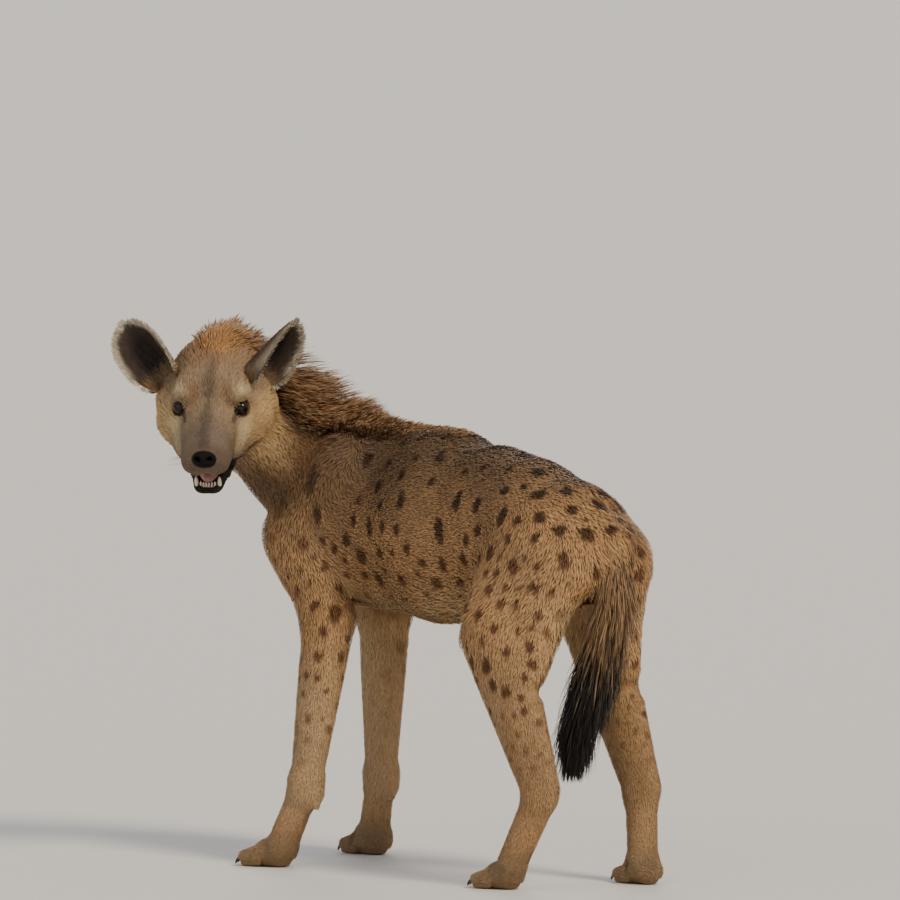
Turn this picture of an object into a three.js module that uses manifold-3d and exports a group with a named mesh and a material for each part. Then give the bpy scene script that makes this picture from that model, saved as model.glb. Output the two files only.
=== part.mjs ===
// A spotted hyena, life size, standing still and looking back over its left shoulder.
// Millimetres. +Z is up, the animal faces -Y, its left side is +X, and its soles lie on Z = 0.
// The flesh is a smooth blend of tapered oval masses. Each sub-part is one closed surface found on
// that blend along rays from its own centre line, then parted from its neighbours by thin cuts.
import * as THREE from "three";
import { mergeVertices } from "three/addons/utils/BufferGeometryUtils.js";
import Module from "manifold-3d";

const wasm = await Module();
wasm.setup();

const GAP = 0.3; // clearance between touching sub-parts
const FAR = 3000; // larger than the whole animal
const ORIGIN = new THREE.Vector3(98, 19, 0); // middle of the outline on the floor, set at X = Y = 0
const UP = new THREE.Vector3(0, 0, 1);
const vec = (x, y, z) => new THREE.Vector3(x, y, z);
const rad = THREE.MathUtils.degToRad;
const lerp = THREE.MathUtils.lerp;

// Materials, by the finish of the real surface
const finish = (color, roughness) => new THREE.MeshStandardMaterial({ color, roughness, metalness: 0 });
const coat = finish(0xb08d62, 0.9);
const faceCoat = finish(0x8f7a62, 0.9);
const maneCoat = finish(0x8a5f3a, 0.9);
const brushCoat = finish(0x1d1614, 0.85);
const bareSkin = finish(0x1c1818, 0.5);
const wetEye = finish(0x1a0f0a, 0.1);
const tongueSkin = finish(0xc9a09a, 0.45);

// Driving dimensions of the head: its seat on the neck and the way that it looks
const OCCIPUT = vec(192, -363, 850);
const HEAD_TURN = rad(135); // from straight ahead towards the left side
const HEAD_DIP = rad(22); // nose below the level of the occiput
const EYE = { along: 132, apart: 52, up: -10.5, radius: 12.5, lidThickness: 3.4, lidAhead: 5.5 };
const NOSE = { along: 259, up: -49, halfWidth: 21, halfHeight: 16, halfDepth: 15 };
const JAW_OPEN = rad(11);
const EAR = { length: 114, halfWidth: 40, wall: 4.5, widest: 0.54, spreadFoot: rad(116), spreadTip: rad(48) };

const headAhead = vec(
  Math.sin(HEAD_TURN) * Math.cos(HEAD_DIP),
  -Math.cos(HEAD_TURN) * Math.cos(HEAD_DIP),
  -Math.sin(HEAD_DIP),
);
const headLeft = UP.clone().cross(headAhead).normalize();
const headUp = headAhead.clone().cross(headLeft);
// A point of the head from its distances ahead of the occiput, to its left and above its axis
const onHead = (ahead, left, up) =>
  OCCIPUT.clone()
    .addScaledVector(headAhead, ahead)
    .addScaledVector(headLeft, left)
    .addScaledVector(headUp, up);

// A tapered oval mass between two points. Sizes are [half width along side, half depth across it].
class Mass {
  constructor(from, to, start, end, { side = vec(1, 0, 0), blend = 30, cap } = {}) {
    this.from = from;
    this.length = from.distanceTo(to);
    this.axis = to.clone().sub(from).normalize();
    this.side = side.clone().addScaledVector(this.axis, -side.dot(this.axis)).normalize();
    this.depth = this.axis.clone().cross(this.side);
    Object.assign(this, { start, end, blend, cap });
  }
  // Distance from the mass's surface along the ray from its centre line, negative inside
  at(p) {
    const x = p.x - this.from.x;
    const y = p.y - this.from.y;
    const z = p.z - this.from.z;
    const along = x * this.axis.x + y * this.axis.y + z * this.axis.z;
    const t = Math.min(1, Math.max(0, along / this.length));
    const past = along - t * this.length;
    const s = x * this.side.x + y * this.side.y + z * this.side.z;
    const d = x * this.depth.x + y * this.depth.y + z * this.depth.z;
    const w = lerp(this.start[0], this.end[0], t);
    const h = lerp(this.start[1], this.end[1], t);
    const c = this.cap ?? Math.min(w, h);
    const reach = Math.hypot(s, d, past) + 1e-6;
    return reach * (1 - 1 / Math.max(1e-3, Math.hypot(s / w, d / h, past / c)));
  }
}

// Several masses run together with rounded valleys between them
class Flesh {
  constructor(...groups) {
    this.masses = groups.flat();
  }
  at(p) {
    let value = FAR;
    for (const mass of this.masses) {
      const next = mass.at(p);
      const near = Math.max(mass.blend - Math.abs(value - next), 0) / mass.blend;
      value = Math.min(value, next) - near * near * mass.blend * 0.25;
    }
    return value;
  }
}

// Trunk. The chest is turned a little to the left, because the animal looks round that way.
const trunk = [
  new Mass(vec(22, -240, 592), vec(0, 20, 590), [104, 146], [124, 158], { blend: 40 }),
  new Mass(vec(0, 20, 587), vec(0, 230, 590), [122, 154], [106, 122], { blend: 40 }),
  new Mass(vec(0, 150, 606), vec(0, 310, 585), [98, 124], [106, 104], { blend: 40 }),
  new Mass(vec(0, 345, 572), vec(0, 395, 556), [104, 96], [90, 82], { blend: 40, cap: 78 }),
  new Mass(vec(20, -220, 686), vec(0, 60, 668), [58, 82], [48, 72], { blend: 50 }),
  new Mass(vec(34, -268, 560), vec(36, -276, 500), [88, 84], [74, 66], { blend: 45 }),
];
const shoulders = {
  left: [
    new Mass(vec(74, -150, 690), vec(98, -266, 565), [38, 66], [48, 64], { blend: 40 }),
    new Mass(vec(98, -266, 565), vec(110, -168, 430), [46, 62], [42, 54], { blend: 35 }),
  ],
  right: [
    new Mass(vec(-60, -190, 690), vec(-72, -318, 565), [38, 66], [46, 64], { blend: 40 }),
    new Mass(vec(-72, -318, 565), vec(-102, -275, 425), [44, 60], [40, 54], { blend: 35 }),
  ],
};
const haunches = {
  left: [
    new Mass(vec(66, 342, 570), vec(104, 272, 440), [58, 110], [46, 80], { blend: 40 }),
    new Mass(vec(58, 392, 556), vec(98, 345, 370), [46, 52], [30, 40], { blend: 35 }),
  ],
  right: [
    new Mass(vec(-66, 345, 570), vec(-112, 270, 440), [58, 110], [46, 78], { blend: 40 }),
    new Mass(vec(-58, 394, 556), vec(-110, 342, 370), [46, 52], [30, 40], { blend: 35 }),
  ],
};

// Legs below the trunk: joints from the top down, with half widths across and fore and aft
const beside = (joint, x, y, z) => joint.clone().add(vec(x, y, z));
const foreLeg = ({ elbow, wrist, knuckle }) => [
  new Mass(elbow, wrist, [40, 56], [25, 31], { blend: 22 }),
  new Mass(beside(wrist, 0, 2, 12), beside(wrist, 0, 4, -12), [28, 34], [27, 33], { blend: 14 }),
  new Mass(wrist, knuckle, [25, 28], [29, 26], { blend: 16 }),
];
const hindLeg = ({ knee, hock, knuckle }) => [
  new Mass(knee, hock, [44, 75], [24, 34], { blend: 24 }),
  new Mass(beside(hock, 0, -20, 150), beside(hock, 0, 28, 18), [14, 20], [15, 15], { blend: 20 }),
  new Mass(hock, knuckle, [25, 33], [28, 25], { blend: 18 }),
];
const leftFore = { elbow: vec(110, -164, 430), wrist: vec(136, -196, 142), knuckle: vec(148, -240, 46) };
const rightFore = { elbow: vec(-102, -272, 425), wrist: vec(-119, -303, 136), knuckle: vec(-124, -326, 46) };
const leftHind = { knee: vec(110, 266, 432), hock: vec(103, 382, 160), knuckle: vec(107, 318, 50) };
const rightHind = { knee: vec(-116, 268, 430), hock: vec(-127, 374, 150), knuckle: vec(-132, 372, 50) };
const legMasses = [foreLeg(leftFore), foreLeg(rightFore), hindLeg(leftHind), hindLeg(rightHind)];

// Neck: an arc that leaves the chest forwards and ends under the turned head
const NECK_PATH = [
  vec(22, -240, 640),
  vec(49.5, -318, 707.5),
  vec(108.5, -369, 777),
  beside(OCCIPUT, -4, -4, -12),
];
const neckHalf = [[84, 112], [80, 105], [76, 97], [74, 80]]; // half width and depth at each point
const neckMasses = NECK_PATH.slice(1).map((end, i) => {
  const start = NECK_PATH[i];
  const side = UP.clone().cross(end.clone().sub(start)).normalize();
  return new Mass(start, end, neckHalf[i], neckHalf[i + 1], { side, blend: 40 });
});

// Head, in its own frame
const headMass = (from, to, start, end, options = {}) =>
  new Mass(onHead(...from), onHead(...to), start, end, { side: headLeft, blend: 16, ...options });
const bothSides = (build) => [1, -1].map(build);
const skull = [
  headMass([20, 0, -6], [92, 0, -12], [80, 70], [76, 60], { blend: 24 }),
  headMass([118, 0, -40], [238, 0, -50], [58, 48], [41, 31], { blend: 24, cap: 22 }),
  headMass([125, 0, -14], [244, 0, -35], [27, 19], [17, 14], { cap: 10 }),
  headMass([60, 0, -62], [118, 0, -66], [62, 44], [52, 34], { blend: 24 }),
  ...bothSides((hand) =>
    headMass([50, hand * 61, -40], [98, hand * 60, -46], [46, 54], [38, 42], { blend: 22 }),
  ),
  ...bothSides((hand) =>
    headMass([104, hand * 36, 20], [138, hand * 47, 9], [20, 17], [13, 10], { blend: 18 }),
  ),
  ...bothSides((hand) =>
    headMass([200, hand * 22, -64], [240, hand * 19, -66], [23, 20], [20, 17], { blend: 12 }),
  ),
];
const [HINGE_AHEAD, HINGE_UP] = [66, -66]; // jaw joint
const onJaw = (along, left, up) => {
  const [a, u] = [along - HINGE_AHEAD, up - HINGE_UP];
  const [c, s] = [Math.cos(JAW_OPEN), Math.sin(JAW_OPEN)];
  return onHead(HINGE_AHEAD + a * c + u * s, left, HINGE_UP - a * s + u * c);
};
const jawMass = (from, to, start, end, options = {}) =>
  new Mass(onJaw(...from), onJaw(...to), start, end, { side: headLeft, blend: 14, ...options });
const jaw = [
  jawMass([84, 0, -88], [228, 0, -93], [50, 24], [27, 11], { cap: 14 }),
  ...bothSides((hand) => jawMass([110, hand * 34, -84], [222, hand * 19, -86], [14, 16], [11, 13])),
];

// Tail
const TAIL_PATH = [
  vec(0, 400, 600),
  vec(2, 452, 575),
  vec(5, 462, 500),
  vec(12, 425, 395),
  vec(24, 391, 300),
];
const tailHalf = [38, 32, 24, 18, 12];
const round = (radius) => [radius, radius];
const tailMasses = TAIL_PATH.slice(1).map(
  (end, i) => new Mass(TAIL_PATH[i], end, round(tailHalf[i]), round(tailHalf[i + 1]), { blend: 20 }),
);

// The hair core of the tail's brush, which its locks stand around
const BRUSH_END = vec(29, 384, 250);
const brushCore = [
  new Mass(TAIL_PATH[2], TAIL_PATH[3], round(24), round(30), { blend: 20 }),
  new Mass(TAIL_PATH[3], TAIL_PATH[4], round(30), round(29), { blend: 20 }),
  new Mass(TAIL_PATH[4], BRUSH_END, round(29), round(14), { blend: 20, cap: 16 }),
];

// Surfaces. A row holds a centre, two axes of its plane and the tilt of its rays towards the next row.
function rowsAlong(stations, capTilts = [90, 62, 32]) {
  const first = stations[0];
  const last = stations[stations.length - 1];
  return [
    ...capTilts.map((tilt) => ({ ...first, tilt: -rad(tilt) })),
    ...stations.map((station) => ({ ...station, tilt: 0 })),
    ...[...capTilts].reverse().map((tilt) => ({ ...last, tilt: rad(tilt) })),
  ];
}

// Distance along a ray from a centre inside the flesh to its surface, or reach where it goes on.
// Strides grow with the distance still to go, and halving then closes in on the surface.
const STRIDE = { first: 4, least: 2, most: 12, share: 0.6 };
const HALVINGS = 14;
function surfaceDistance(flesh, centre, direction, reach, offset) {
  const point = vec(0, 0, 0);
  const value = (r) => flesh.at(point.copy(centre).addScaledVector(direction, r)) - offset;
  let low = 0;
  let high = STRIDE.first;
  while (high < reach && value(high) < 0) {
    low = high;
    high += THREE.MathUtils.clamp(-STRIDE.share * value(high), STRIDE.least, STRIDE.most);
  }
  if (high >= reach) return reach;
  for (let i = 0; i < HALVINGS; i++) {
    const middle = (low + high) / 2;
    const inside = value(middle) < 0;
    low = inside ? middle : low;
    high = inside ? high : middle;
  }
  return high;
}

// A closed surface through rows of points: the first and last rows shrink to a pole each
function closedGrid(rows, sides, pointAt) {
  const positions = [];
  const index = [];
  const last = rows.length - 1;
  rows.forEach((row, i) => {
    const count = i === 0 || i === last ? 1 : sides;
    for (let j = 0; j < count; j++) {
      positions.push(...pointAt(row, j, i).toArray());
    }
  });
  const at = (i, j) => (i === 0 ? 0 : 1 + (i - 1) * sides + (i === last ? 0 : j % sides));
  for (let i = 0; i < last; i++) {
    for (let j = 0; j < sides; j++) {
      if (i > 0) index.push(at(i, j), at(i + 1, j), at(i, j + 1));
      if (i < last - 1) index.push(at(i, j + 1), at(i + 1, j), at(i + 1, j + 1));
    }
  }
  const geometry = new THREE.BufferGeometry();
  geometry.setAttribute("position", new THREE.Float32BufferAttribute(positions, 3));
  geometry.setIndex(index);
  return geometry;
}

// The flesh seen from a line of stations. Rays stop at a margin outside a second flesh, if given.
function wrap(flesh, stations, sides, reach, { offset = 0, capTilts, within, margin = 14 } = {}) {
  const direction = vec(0, 0, 0);
  return closedGrid(rowsAlong(stations, capTilts), sides, ({ centre, u, v, tilt }, j) => {
    const angle = (2 * Math.PI * (j + 0.5)) / sides;
    direction.copy(u).multiplyScalar(Math.cos(angle)).addScaledVector(v, Math.sin(angle));
    direction.multiplyScalar(Math.cos(tilt)).addScaledVector(u.clone().cross(v), Math.sin(tilt));
    let distance = surfaceDistance(flesh, centre, direction, reach, offset);
    if (within) {
      const limit = surfaceDistance(within, centre, direction, reach, margin + offset);
      distance = Math.min(distance, limit);
    }
    return centre.clone().addScaledVector(direction, distance);
  });
}

// Solids
function solid(geometry) {
  const bare = geometry.index ? geometry.toNonIndexed() : geometry.clone();
  const extras = Object.keys(bare.attributes).filter((name) => name !== "position");
  extras.forEach((name) => bare.deleteAttribute(name));
  const merged = mergeVertices(bare, 1e-3);
  const vertProperties = merged.attributes.position.array;
  const triVerts = new Uint32Array(merged.index.array);
  const build = () => new wasm.Manifold(new wasm.Mesh({ numProp: 3, vertProperties, triVerts }));
  const made = build();
  if (made.volume() > 0) return made;
  triVerts.reverse();
  return build();
}
const union = (pieces) => pieces.reduce((all, piece) => all.add(piece));
const largest = (made) => made.decompose().reduce((a, b) => (b.volume() > a.volume() ? b : a));

// A box by its centre and size, turned so that its local Z lies along an axis
function block(centre, size, axis = UP) {
  const geometry = new THREE.BoxGeometry(...size);
  geometry.applyQuaternion(new THREE.Quaternion().setFromUnitVectors(UP, axis.clone().normalize()));
  return solid(geometry.translate(...centre.toArray()));
}
// The half space ahead of a plane, as a large block
const ahead = ({ point, normal }, gap = 0) =>
  block(point.clone().addScaledVector(normal, FAR / 2 + gap), [FAR, FAR, FAR], normal);
// The space between two levels
const layer = (low, high) => block(vec(0, 0, (low + high) / 2), [FAR, FAR, high - low]);

// An oval ball about a point: half sizes along three axes at right angles
function ball(centre, axes, sizes, slices = 12, stacks = 8) {
  const matrix = new THREE.Matrix4().makeBasis(...axes).setPosition(centre);
  const geometry = new THREE.SphereGeometry(1, slices, stacks).scale(...sizes);
  return solid(geometry.applyMatrix4(matrix));
}
const headAxes = [headLeft, headUp, headAhead];

// Stations along a path, with planes square to it
function stationsOn(points, count) {
  const path = new THREE.CatmullRomCurve3(points);
  return Array.from({ length: count }, (_, i) => {
    const t = i / (count - 1);
    const along = path.getTangentAt(t);
    const u = UP.clone().cross(along).normalize();
    return { centre: path.getPointAt(t), u, v: along.clone().cross(u), along };
  });
}
// Level stations down a leg, at the given heights, on a line through its joints
function levelStations(joints, heights) {
  return heights.map((z) => {
    const below = joints.findIndex((joint) => joint.z <= z);
    const i = THREE.MathUtils.clamp(below - 1, 0, joints.length - 2);
    const [upper, lower] = [joints[i], joints[i + 1]];
    const t = (upper.z - z) / (upper.z - lower.z);
    return { centre: upper.clone().lerp(lower, t), u: vec(0, 1, 0), v: vec(1, 0, 0) };
  });
}
const range = (from, to, count) => Array.from({ length: count }, (_, i) => lerp(from, to, i / (count - 1)));

// A lock of hair: a flat strip that tapers to its tip and bends from its rise into its lie. Its root
// end is sunk in the flesh. Grown by a little, it cuts the same shape with clearance.
const LOCK_FRACTIONS = [0, 0.12, 0.5, 0.82, 1];
const LOCK_SIZES = [0, 1, 0.86, 0.5, 0];
function lock({ root, outward, lie, length, width, thick, lift, settle }, grow = 0) {
  const across = lie.clone().cross(outward).normalize();
  const steps = 25;
  const spare = 1.5 * grow; // for the corners, which reach less far than the flats
  const points = [root.clone()];
  for (let i = 0; i < steps; i++) {
    const direction = lie.clone().addScaledVector(outward, lerp(lift, settle, i / steps)).normalize();
    points.push(points[i].clone().addScaledVector(direction, length / steps));
  }
  return solid(
    closedGrid(LOCK_FRACTIONS, 4, (t, j, i) => {
      const at = points[Math.round(t * steps)].clone();
      const before = points[Math.max(0, Math.round(t * steps) - 1)];
      const after = points[Math.min(steps, Math.round(t * steps) + 1)];
      const run = after.clone().sub(before).normalize();
      if (i === 0) return at.addScaledVector(run, -grow);
      if (i === LOCK_FRACTIONS.length - 1) return at.addScaledVector(run, 2 * grow);
      const normal = run.clone().cross(across).normalize();
      const [x, y] = [[1, 0], [0, 1], [-1, 0], [0, -1]][j];
      at.addScaledVector(across, x * ((width / 2) * LOCK_SIZES[i] + spare));
      return at.addScaledVector(normal, y * ((thick / 2) * LOCK_SIZES[i] + spare));
    }),
  );
}
// A repeatable scatter between -1 and 1
const scatter = (n) => Math.sin(n * 12.9898) * Math.cos(n * 4.1414);
// A direction square to a station's path, at an angle from its crest
const spoke = ({ u, v }, turn) => v.clone().multiplyScalar(Math.cos(turn)).addScaledVector(u, Math.sin(turn));
// Rows of locks along the back of a run of stations, at angles from its crest. They lie towards the
// tail. The seed sets their scatter.
const ROOT_DEPTH = 9; // a lock's root lies this deep in the flesh
function crestLocks(flesh, stations, angles, size, seed = 0) {
  return stations.flatMap((station, i) =>
    angles.map((angle, k) => {
      const n = seed + i * 7 + k * 3;
      const turn = rad(angle * (1 + 0.2 * scatter(n)) + (i % 2 ? 3 : -3));
      const outward = spoke(station, turn);
      const surface = surfaceDistance(flesh, station.centre, outward, 300, 0);
      const t = i / (stations.length - 1);
      const uneven = 1 + 0.12 * scatter(n + 1) - Math.abs(angle) * 0.006;
      const lie = station.along.clone().negate().addScaledVector(station.u, 0.16 * scatter(n + 5));
      return {
        root: station.centre.clone().addScaledVector(outward, surface - ROOT_DEPTH),
        outward,
        lie: lie.normalize(),
        length: lerp(size.length[0], size.length[1], t) * uneven,
        width: size.width * (1 + 0.15 * scatter(n + 2)),
        thick: size.thick,
        lift: lerp(size.lift[0], size.lift[1], t),
        settle: size.settle,
      };
    }),
  );
}
const locksOf = (list, grow = 0) => union(list.map((item) => lock(item, grow)));

const group = new THREE.Group();
function add(name, made, material) {
  const mesh = largest(made).getMesh();
  const geometry = new THREE.BufferGeometry();
  const positions = new Float32Array(mesh.numVert * 3);
  for (let i = 0; i < mesh.numVert; i++) {
    positions.set(mesh.vertProperties.subarray(i * mesh.numProp, i * mesh.numProp + 3), i * 3);
  }
  geometry.setAttribute("position", new THREE.BufferAttribute(positions, 3));
  geometry.setIndex(new THREE.BufferAttribute(mesh.triVerts, 1));
  geometry.translate(-ORIGIN.x, -ORIGIN.y, 0);
  const part = new THREE.Mesh(geometry, material);
  part.name = name;
  group.add(part);
}

// The body's flesh as a whole, and the parts of it that the torso may claim
const allShoulders = [...shoulders.left, ...shoulders.right];
const allHaunches = [...haunches.left, ...haunches.right];
const body = new Flesh(trunk, allShoulders, allHaunches, ...legMasses, neckMasses, tailMasses.slice(0, 1));
const torsoOwn = new Flesh(
  trunk,
  shoulders.left[0],
  shoulders.right[0],
  new Mass(vec(66, 342, 570), vec(84, 310, 520), [58, 110], [50, 96], { blend: 40 }),
  new Mass(vec(-66, 345, 570), vec(-84, 312, 520), [58, 110], [50, 96], { blend: 40 }),
  neckMasses[0],
);
// Middle of the trunk at a distance along it. It bends to the left ahead of the ribs.
const trunkMiddle = (y) => vec(Math.max(0, (-22 * y) / 240), y, 592);
const torsoStations = range(-225, 325, 13).map((y) => ({
  centre: trunkMiddle(y),
  u: vec(1, 0, 0),
  v: vec(0, 0, -1),
}));
const torsoHull = (offset) => {
  const options = { offset, capTilts: [90, 70, 48, 24], within: torsoOwn };
  return solid(wrap(body, torsoStations, 24, 300, options));
};

// Where the neck starts, and where the head starts
const neckPlane = { point: vec(34, -286, 668), normal: NECK_PATH[1].clone().sub(NECK_PATH[0]).normalize() };
const headPlane = {
  point: onHead(38, 0, -25),
  normal: headAhead.clone().multiplyScalar(0.966).addScaledVector(headUp, 0.256).normalize(),
};

// Legs. Each runs from inside the trunk to its sole; the cuts part it at the elbow or knee and the ankle.
const legs = [
  {
    side: "left",
    fore: true,
    flesh: new Flesh(shoulders.left, legMasses[0]),
    path: [vec(98, -262, 580), vec(104, -215, 500), ...Object.values(leftFore), vec(151, -262, 10)],
    cuts: [500, 405, 150],
    paw: { centre: vec(151, -279, 0), turn: rad(12) },
  },
  {
    side: "right",
    fore: true,
    flesh: new Flesh(shoulders.right, legMasses[1]),
    path: [vec(-74, -316, 580), vec(-86, -298, 500), ...Object.values(rightFore), vec(-126, -336, 10)],
    cuts: [500, 400, 145],
    paw: { centre: vec(-126, -347, 0), turn: rad(-4) },
  },
  {
    side: "left",
    fore: false,
    flesh: new Flesh(haunches.left, legMasses[2]),
    path: [
      vec(76, 340, 580),
      vec(90, 330, 500),
      vec(106, 300, 430),
      vec(106, 350, 250),
      leftHind.hock,
      leftHind.knuckle,
      vec(107, 296, 10),
    ],
    cuts: [520, 395, 165],
    paw: { centre: vec(107, 280, 0), turn: rad(8) },
  },
  {
    side: "right",
    fore: false,
    flesh: new Flesh(haunches.right, legMasses[3]),
    path: [
      vec(-78, 342, 580),
      vec(-92, 330, 500),
      vec(-112, 298, 430),
      vec(-122, 350, 250),
      rightHind.hock,
      rightHind.knuckle,
      vec(-134, 366, 10),
    ],
    cuts: [520, 395, 155],
    paw: { centre: vec(-134, 363, 0), turn: rad(-6) },
  },
];
const foreLevels = [525, 490, 450, 410, 370, 315, 260, 205, 168, 140, 115, 80, 40];
const hindLevels = [540, 500, 455, 410, 360, 305, 250, 205, 175, 150, 125, 85, 40];
function legHull(leg, offset, gap = 0) {
  const stations = levelStations(leg.path, leg.fore ? foreLevels : hindLevels);
  const hull = solid(wrap(body, stations, 12, 170, { offset, within: leg.flesh }));
  const hand = leg.side === "left" ? 1 : -1;
  const middle = vec(hand * (GAP / 2 - gap), 0, 0);
  return leg.fore ? hull : hull.intersect(ahead({ point: middle, normal: vec(hand, 0, 0) }));
}

// A paw: four toes side by side ahead of a broad pad, with a blunt claw on each toe
const CLAW = { radius: 3.6, length: 15, droop: rad(-74) };
function pawOf({ centre, turn }, fore) {
  const [halfWidth, length, height] = fore ? [38, 108, 40] : [35, 100, 38];
  const across = vec(Math.cos(turn), Math.sin(turn), 0);
  const toTail = vec(-Math.sin(turn), Math.cos(turn), 0);
  const at = (x, y, z) => centre.clone().addScaledVector(across, x).addScaledVector(toTail, y).setZ(z);
  const axes = [across, UP, toTail.clone().negate()];
  const padHalf = [halfWidth * 0.86, height * 0.72, length * 0.34];
  const toeHalf = [halfWidth * 0.28, height * 0.48, length * 0.23];
  const pieces = [ball(at(0, length * 0.16, height * 0.6), axes, padHalf, 10, 6)];
  for (const slot of [-1.5, -0.5, 0.5, 1.5]) {
    const x = slot * halfWidth * 0.5;
    const y = -length * (Math.abs(slot) < 1 ? 0.27 : 0.17);
    pieces.push(ball(at(x, y, height * 0.42), axes, toeHalf, 7, 5));
    const claw = new THREE.ConeGeometry(CLAW.radius, CLAW.length, 5).rotateX(CLAW.droop).rotateZ(Math.PI);
    const frame = new THREE.Matrix4().makeBasis(across, toTail, UP);
    claw.applyMatrix4(frame.setPosition(at(x, y - length * 0.22, height * 0.36)));
    pieces.push(solid(claw));
  }
  return union(pieces);
}

// Torso and legs come from one closed form, which level cuts and each leg's own space then part
const SEAM = 12; // a leg's space reaches this far into the trunk around it
const BELOW_FLOOR = -100;
let whole = torsoHull(0);
for (const leg of legs) {
  const below = legHull(leg, SEAM).intersect(layer(BELOW_FLOOR, leg.cuts[0] - SEAM / 2));
  const limb = legHull(leg, 0).intersect(layer(BELOW_FLOOR, leg.cuts[0] + SEAM / 2));
  whole = whole.subtract(below).add(limb);
}
const legSpace = (leg, gap) =>
  legHull(leg, SEAM + gap, gap).intersect(layer(BELOW_FLOOR, leg.cuts[0] + gap));
const neckFlesh = new Flesh(trunk, allShoulders, neckMasses, skull.slice(0, 1));
const headFlesh = new Flesh(skull, neckMasses[2]);
const neckEnd = NECK_PATH[3].clone().sub(NECK_PATH[2]).normalize();
const neckLast = NECK_PATH[3].clone().addScaledVector(neckEnd, 14);
const neckLine = [vec(0, -180, 590), ...NECK_PATH, neckLast];
const neckStations = stationsOn(neckLine, 14);

// Long hair of the crown, neck and withers
const crownStations = range(62, 42, 3).map((a) => ({
  centre: onHead(a, 0, -10),
  u: headLeft,
  v: headUp,
  along: headAhead,
}));
const crownSize = { length: [40, 56], width: 21, thick: 6, lift: [0.55, 0.8], settle: 0.05 };
const crownLocks = crestLocks(headFlesh, crownStations, [-34, -17, 0, 17, 34], crownSize);
const maneStations = stationsOn(neckLine, 40)
  .slice(17, 37)
  .filter((_, i) => i % 2 === 0)
  .reverse();
const maneSize = { length: [70, 98], width: 27, thick: 8, lift: [1.35, 1.25], settle: 0.45 };
const maneLocks = crestLocks(neckFlesh, maneStations, [-27, -9, 9, 27], maneSize, 40);
const withersStations = range(-196, 62, 9).map((y) => ({
  centre: trunkMiddle(y),
  u: vec(1, 0, 0),
  v: UP,
  along: vec(0, -1, 0),
}));
const withersSize = { length: [94, 50], width: 26, thick: 7, lift: [0.95, 0.4], settle: 0.12 };
const withersLocks = crestLocks(body, withersStations, [-11, 0, 11], withersSize, 90);

const TOP = 1000; // above the animal
let torso = whole.add(locksOf(withersLocks)).subtract(locksOf(maneLocks, GAP)).subtract(ahead(neckPlane));
for (const leg of legs) {
  const [, knee, ankle] = leg.cuts;
  torso = torso.subtract(legSpace(leg, GAP));
  const limb = whole.intersect(legSpace(leg, 0));
  const [upper, lower, end] = leg.fore
    ? ["upper_foreleg", "forearm", "fore_foot"]
    : ["thigh", "shank", "hind_foot"];
  const foot = union([limb.intersect(layer(8, ankle)), pawOf(leg.paw, leg.fore)]);
  add(`${upper}_${leg.side}`, limb.intersect(layer(knee + GAP, TOP)), coat);
  add(`${lower}_${leg.side}`, limb.intersect(layer(ankle + GAP, knee)), coat);
  add(`${end}_${leg.side}`, foot.intersect(layer(0, ankle)), coat);
}
add("torso", torso, coat);

// Neck
const neckHull = (offset) =>
  solid(wrap(neckFlesh, neckStations, 22, 260, { offset, capTilts: [90, 72, 50, 25] }));
const torsoSpace = torsoHull(GAP);
const neckBare = neckHull(0).intersect(ahead(neckPlane, GAP));
const neckWithMane = neckBare
  .add(locksOf(maneLocks).subtract(torsoSpace))
  .subtract(torsoSpace.subtract(ahead(neckPlane)));
const neckSpace = neckHull(GAP);
add("neck", neckWithMane.subtract(locksOf(crownLocks, GAP)).subtract(ahead(headPlane)), maneCoat);

// Head
const headStations = range(20, 240, 18).map((a) => ({
  centre: onHead(a, 0, lerp(-8, -50, THREE.MathUtils.clamp((a - 90) / 60, 0, 1))),
  u: headLeft,
  v: headAhead.clone().cross(headLeft),
}));
const headHull = (offset) =>
  solid(wrap(headFlesh, headStations, 24, 160, { offset, capTilts: [90, 66, 44, 22] }));
const headSpace = headHull(GAP);

// Ears: open cups. Each ring runs round the back, from edge to edge, and returns inside it.
const EAR_RINGS = 9;
const EAR_HALF = 6; // points of a ring on each side of the wall
function earCup(base, axis, facing) {
  const across = axis.clone().cross(facing).normalize();
  const front = across.clone().cross(axis).normalize();
  const levels = [-0.1, ...range(0, 0.92, EAR_RINGS), 0.98, 1];
  return solid(
    closedGrid(levels, 2 * EAR_HALF, (t, j, i) => {
      const centre = base.clone().addScaledVector(axis, t * EAR.length);
      if (i === 0 || i === levels.length - 1) return centre.addScaledVector(front, 2);
      const rise = t < EAR.widest ? (EAR.widest - t) / 0.8 : (t - EAR.widest) / (1 - EAR.widest);
      const width = EAR.halfWidth * Math.sqrt(Math.max(0, 1 - rise ** 2.2));
      const spread = lerp(EAR.spreadFoot, EAR.spreadTip, t);
      const radius = width / Math.sin(Math.min(Math.PI / 2, spread));
      const outside = j < EAR_HALF;
      const k = (outside ? j : 2 * EAR_HALF - 1 - j) / (EAR_HALF - 1);
      const angle = lerp(-spread, spread, k);
      const r = outside ? radius : radius - Math.min(EAR.wall, radius / 2);
      return centre
        .addScaledVector(across, r * Math.sin(angle))
        .addScaledVector(front, radius - r * Math.cos(angle));
    }),
  );
}
const ears = [
  { name: "ear_left", base: onHead(44, 57, 26), lean: [-0.06, 0.7, 0.71], facing: [0.62, 0.78, -0.2] },
  { name: "ear_right", base: onHead(44, -84, 6), lean: [-0.25, -0.64, 0.72], facing: [0.95, -0.1, 0.3] },
];
const headWay = (a, s, u) => onHead(a, s, u).sub(OCCIPUT).normalize();
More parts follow.
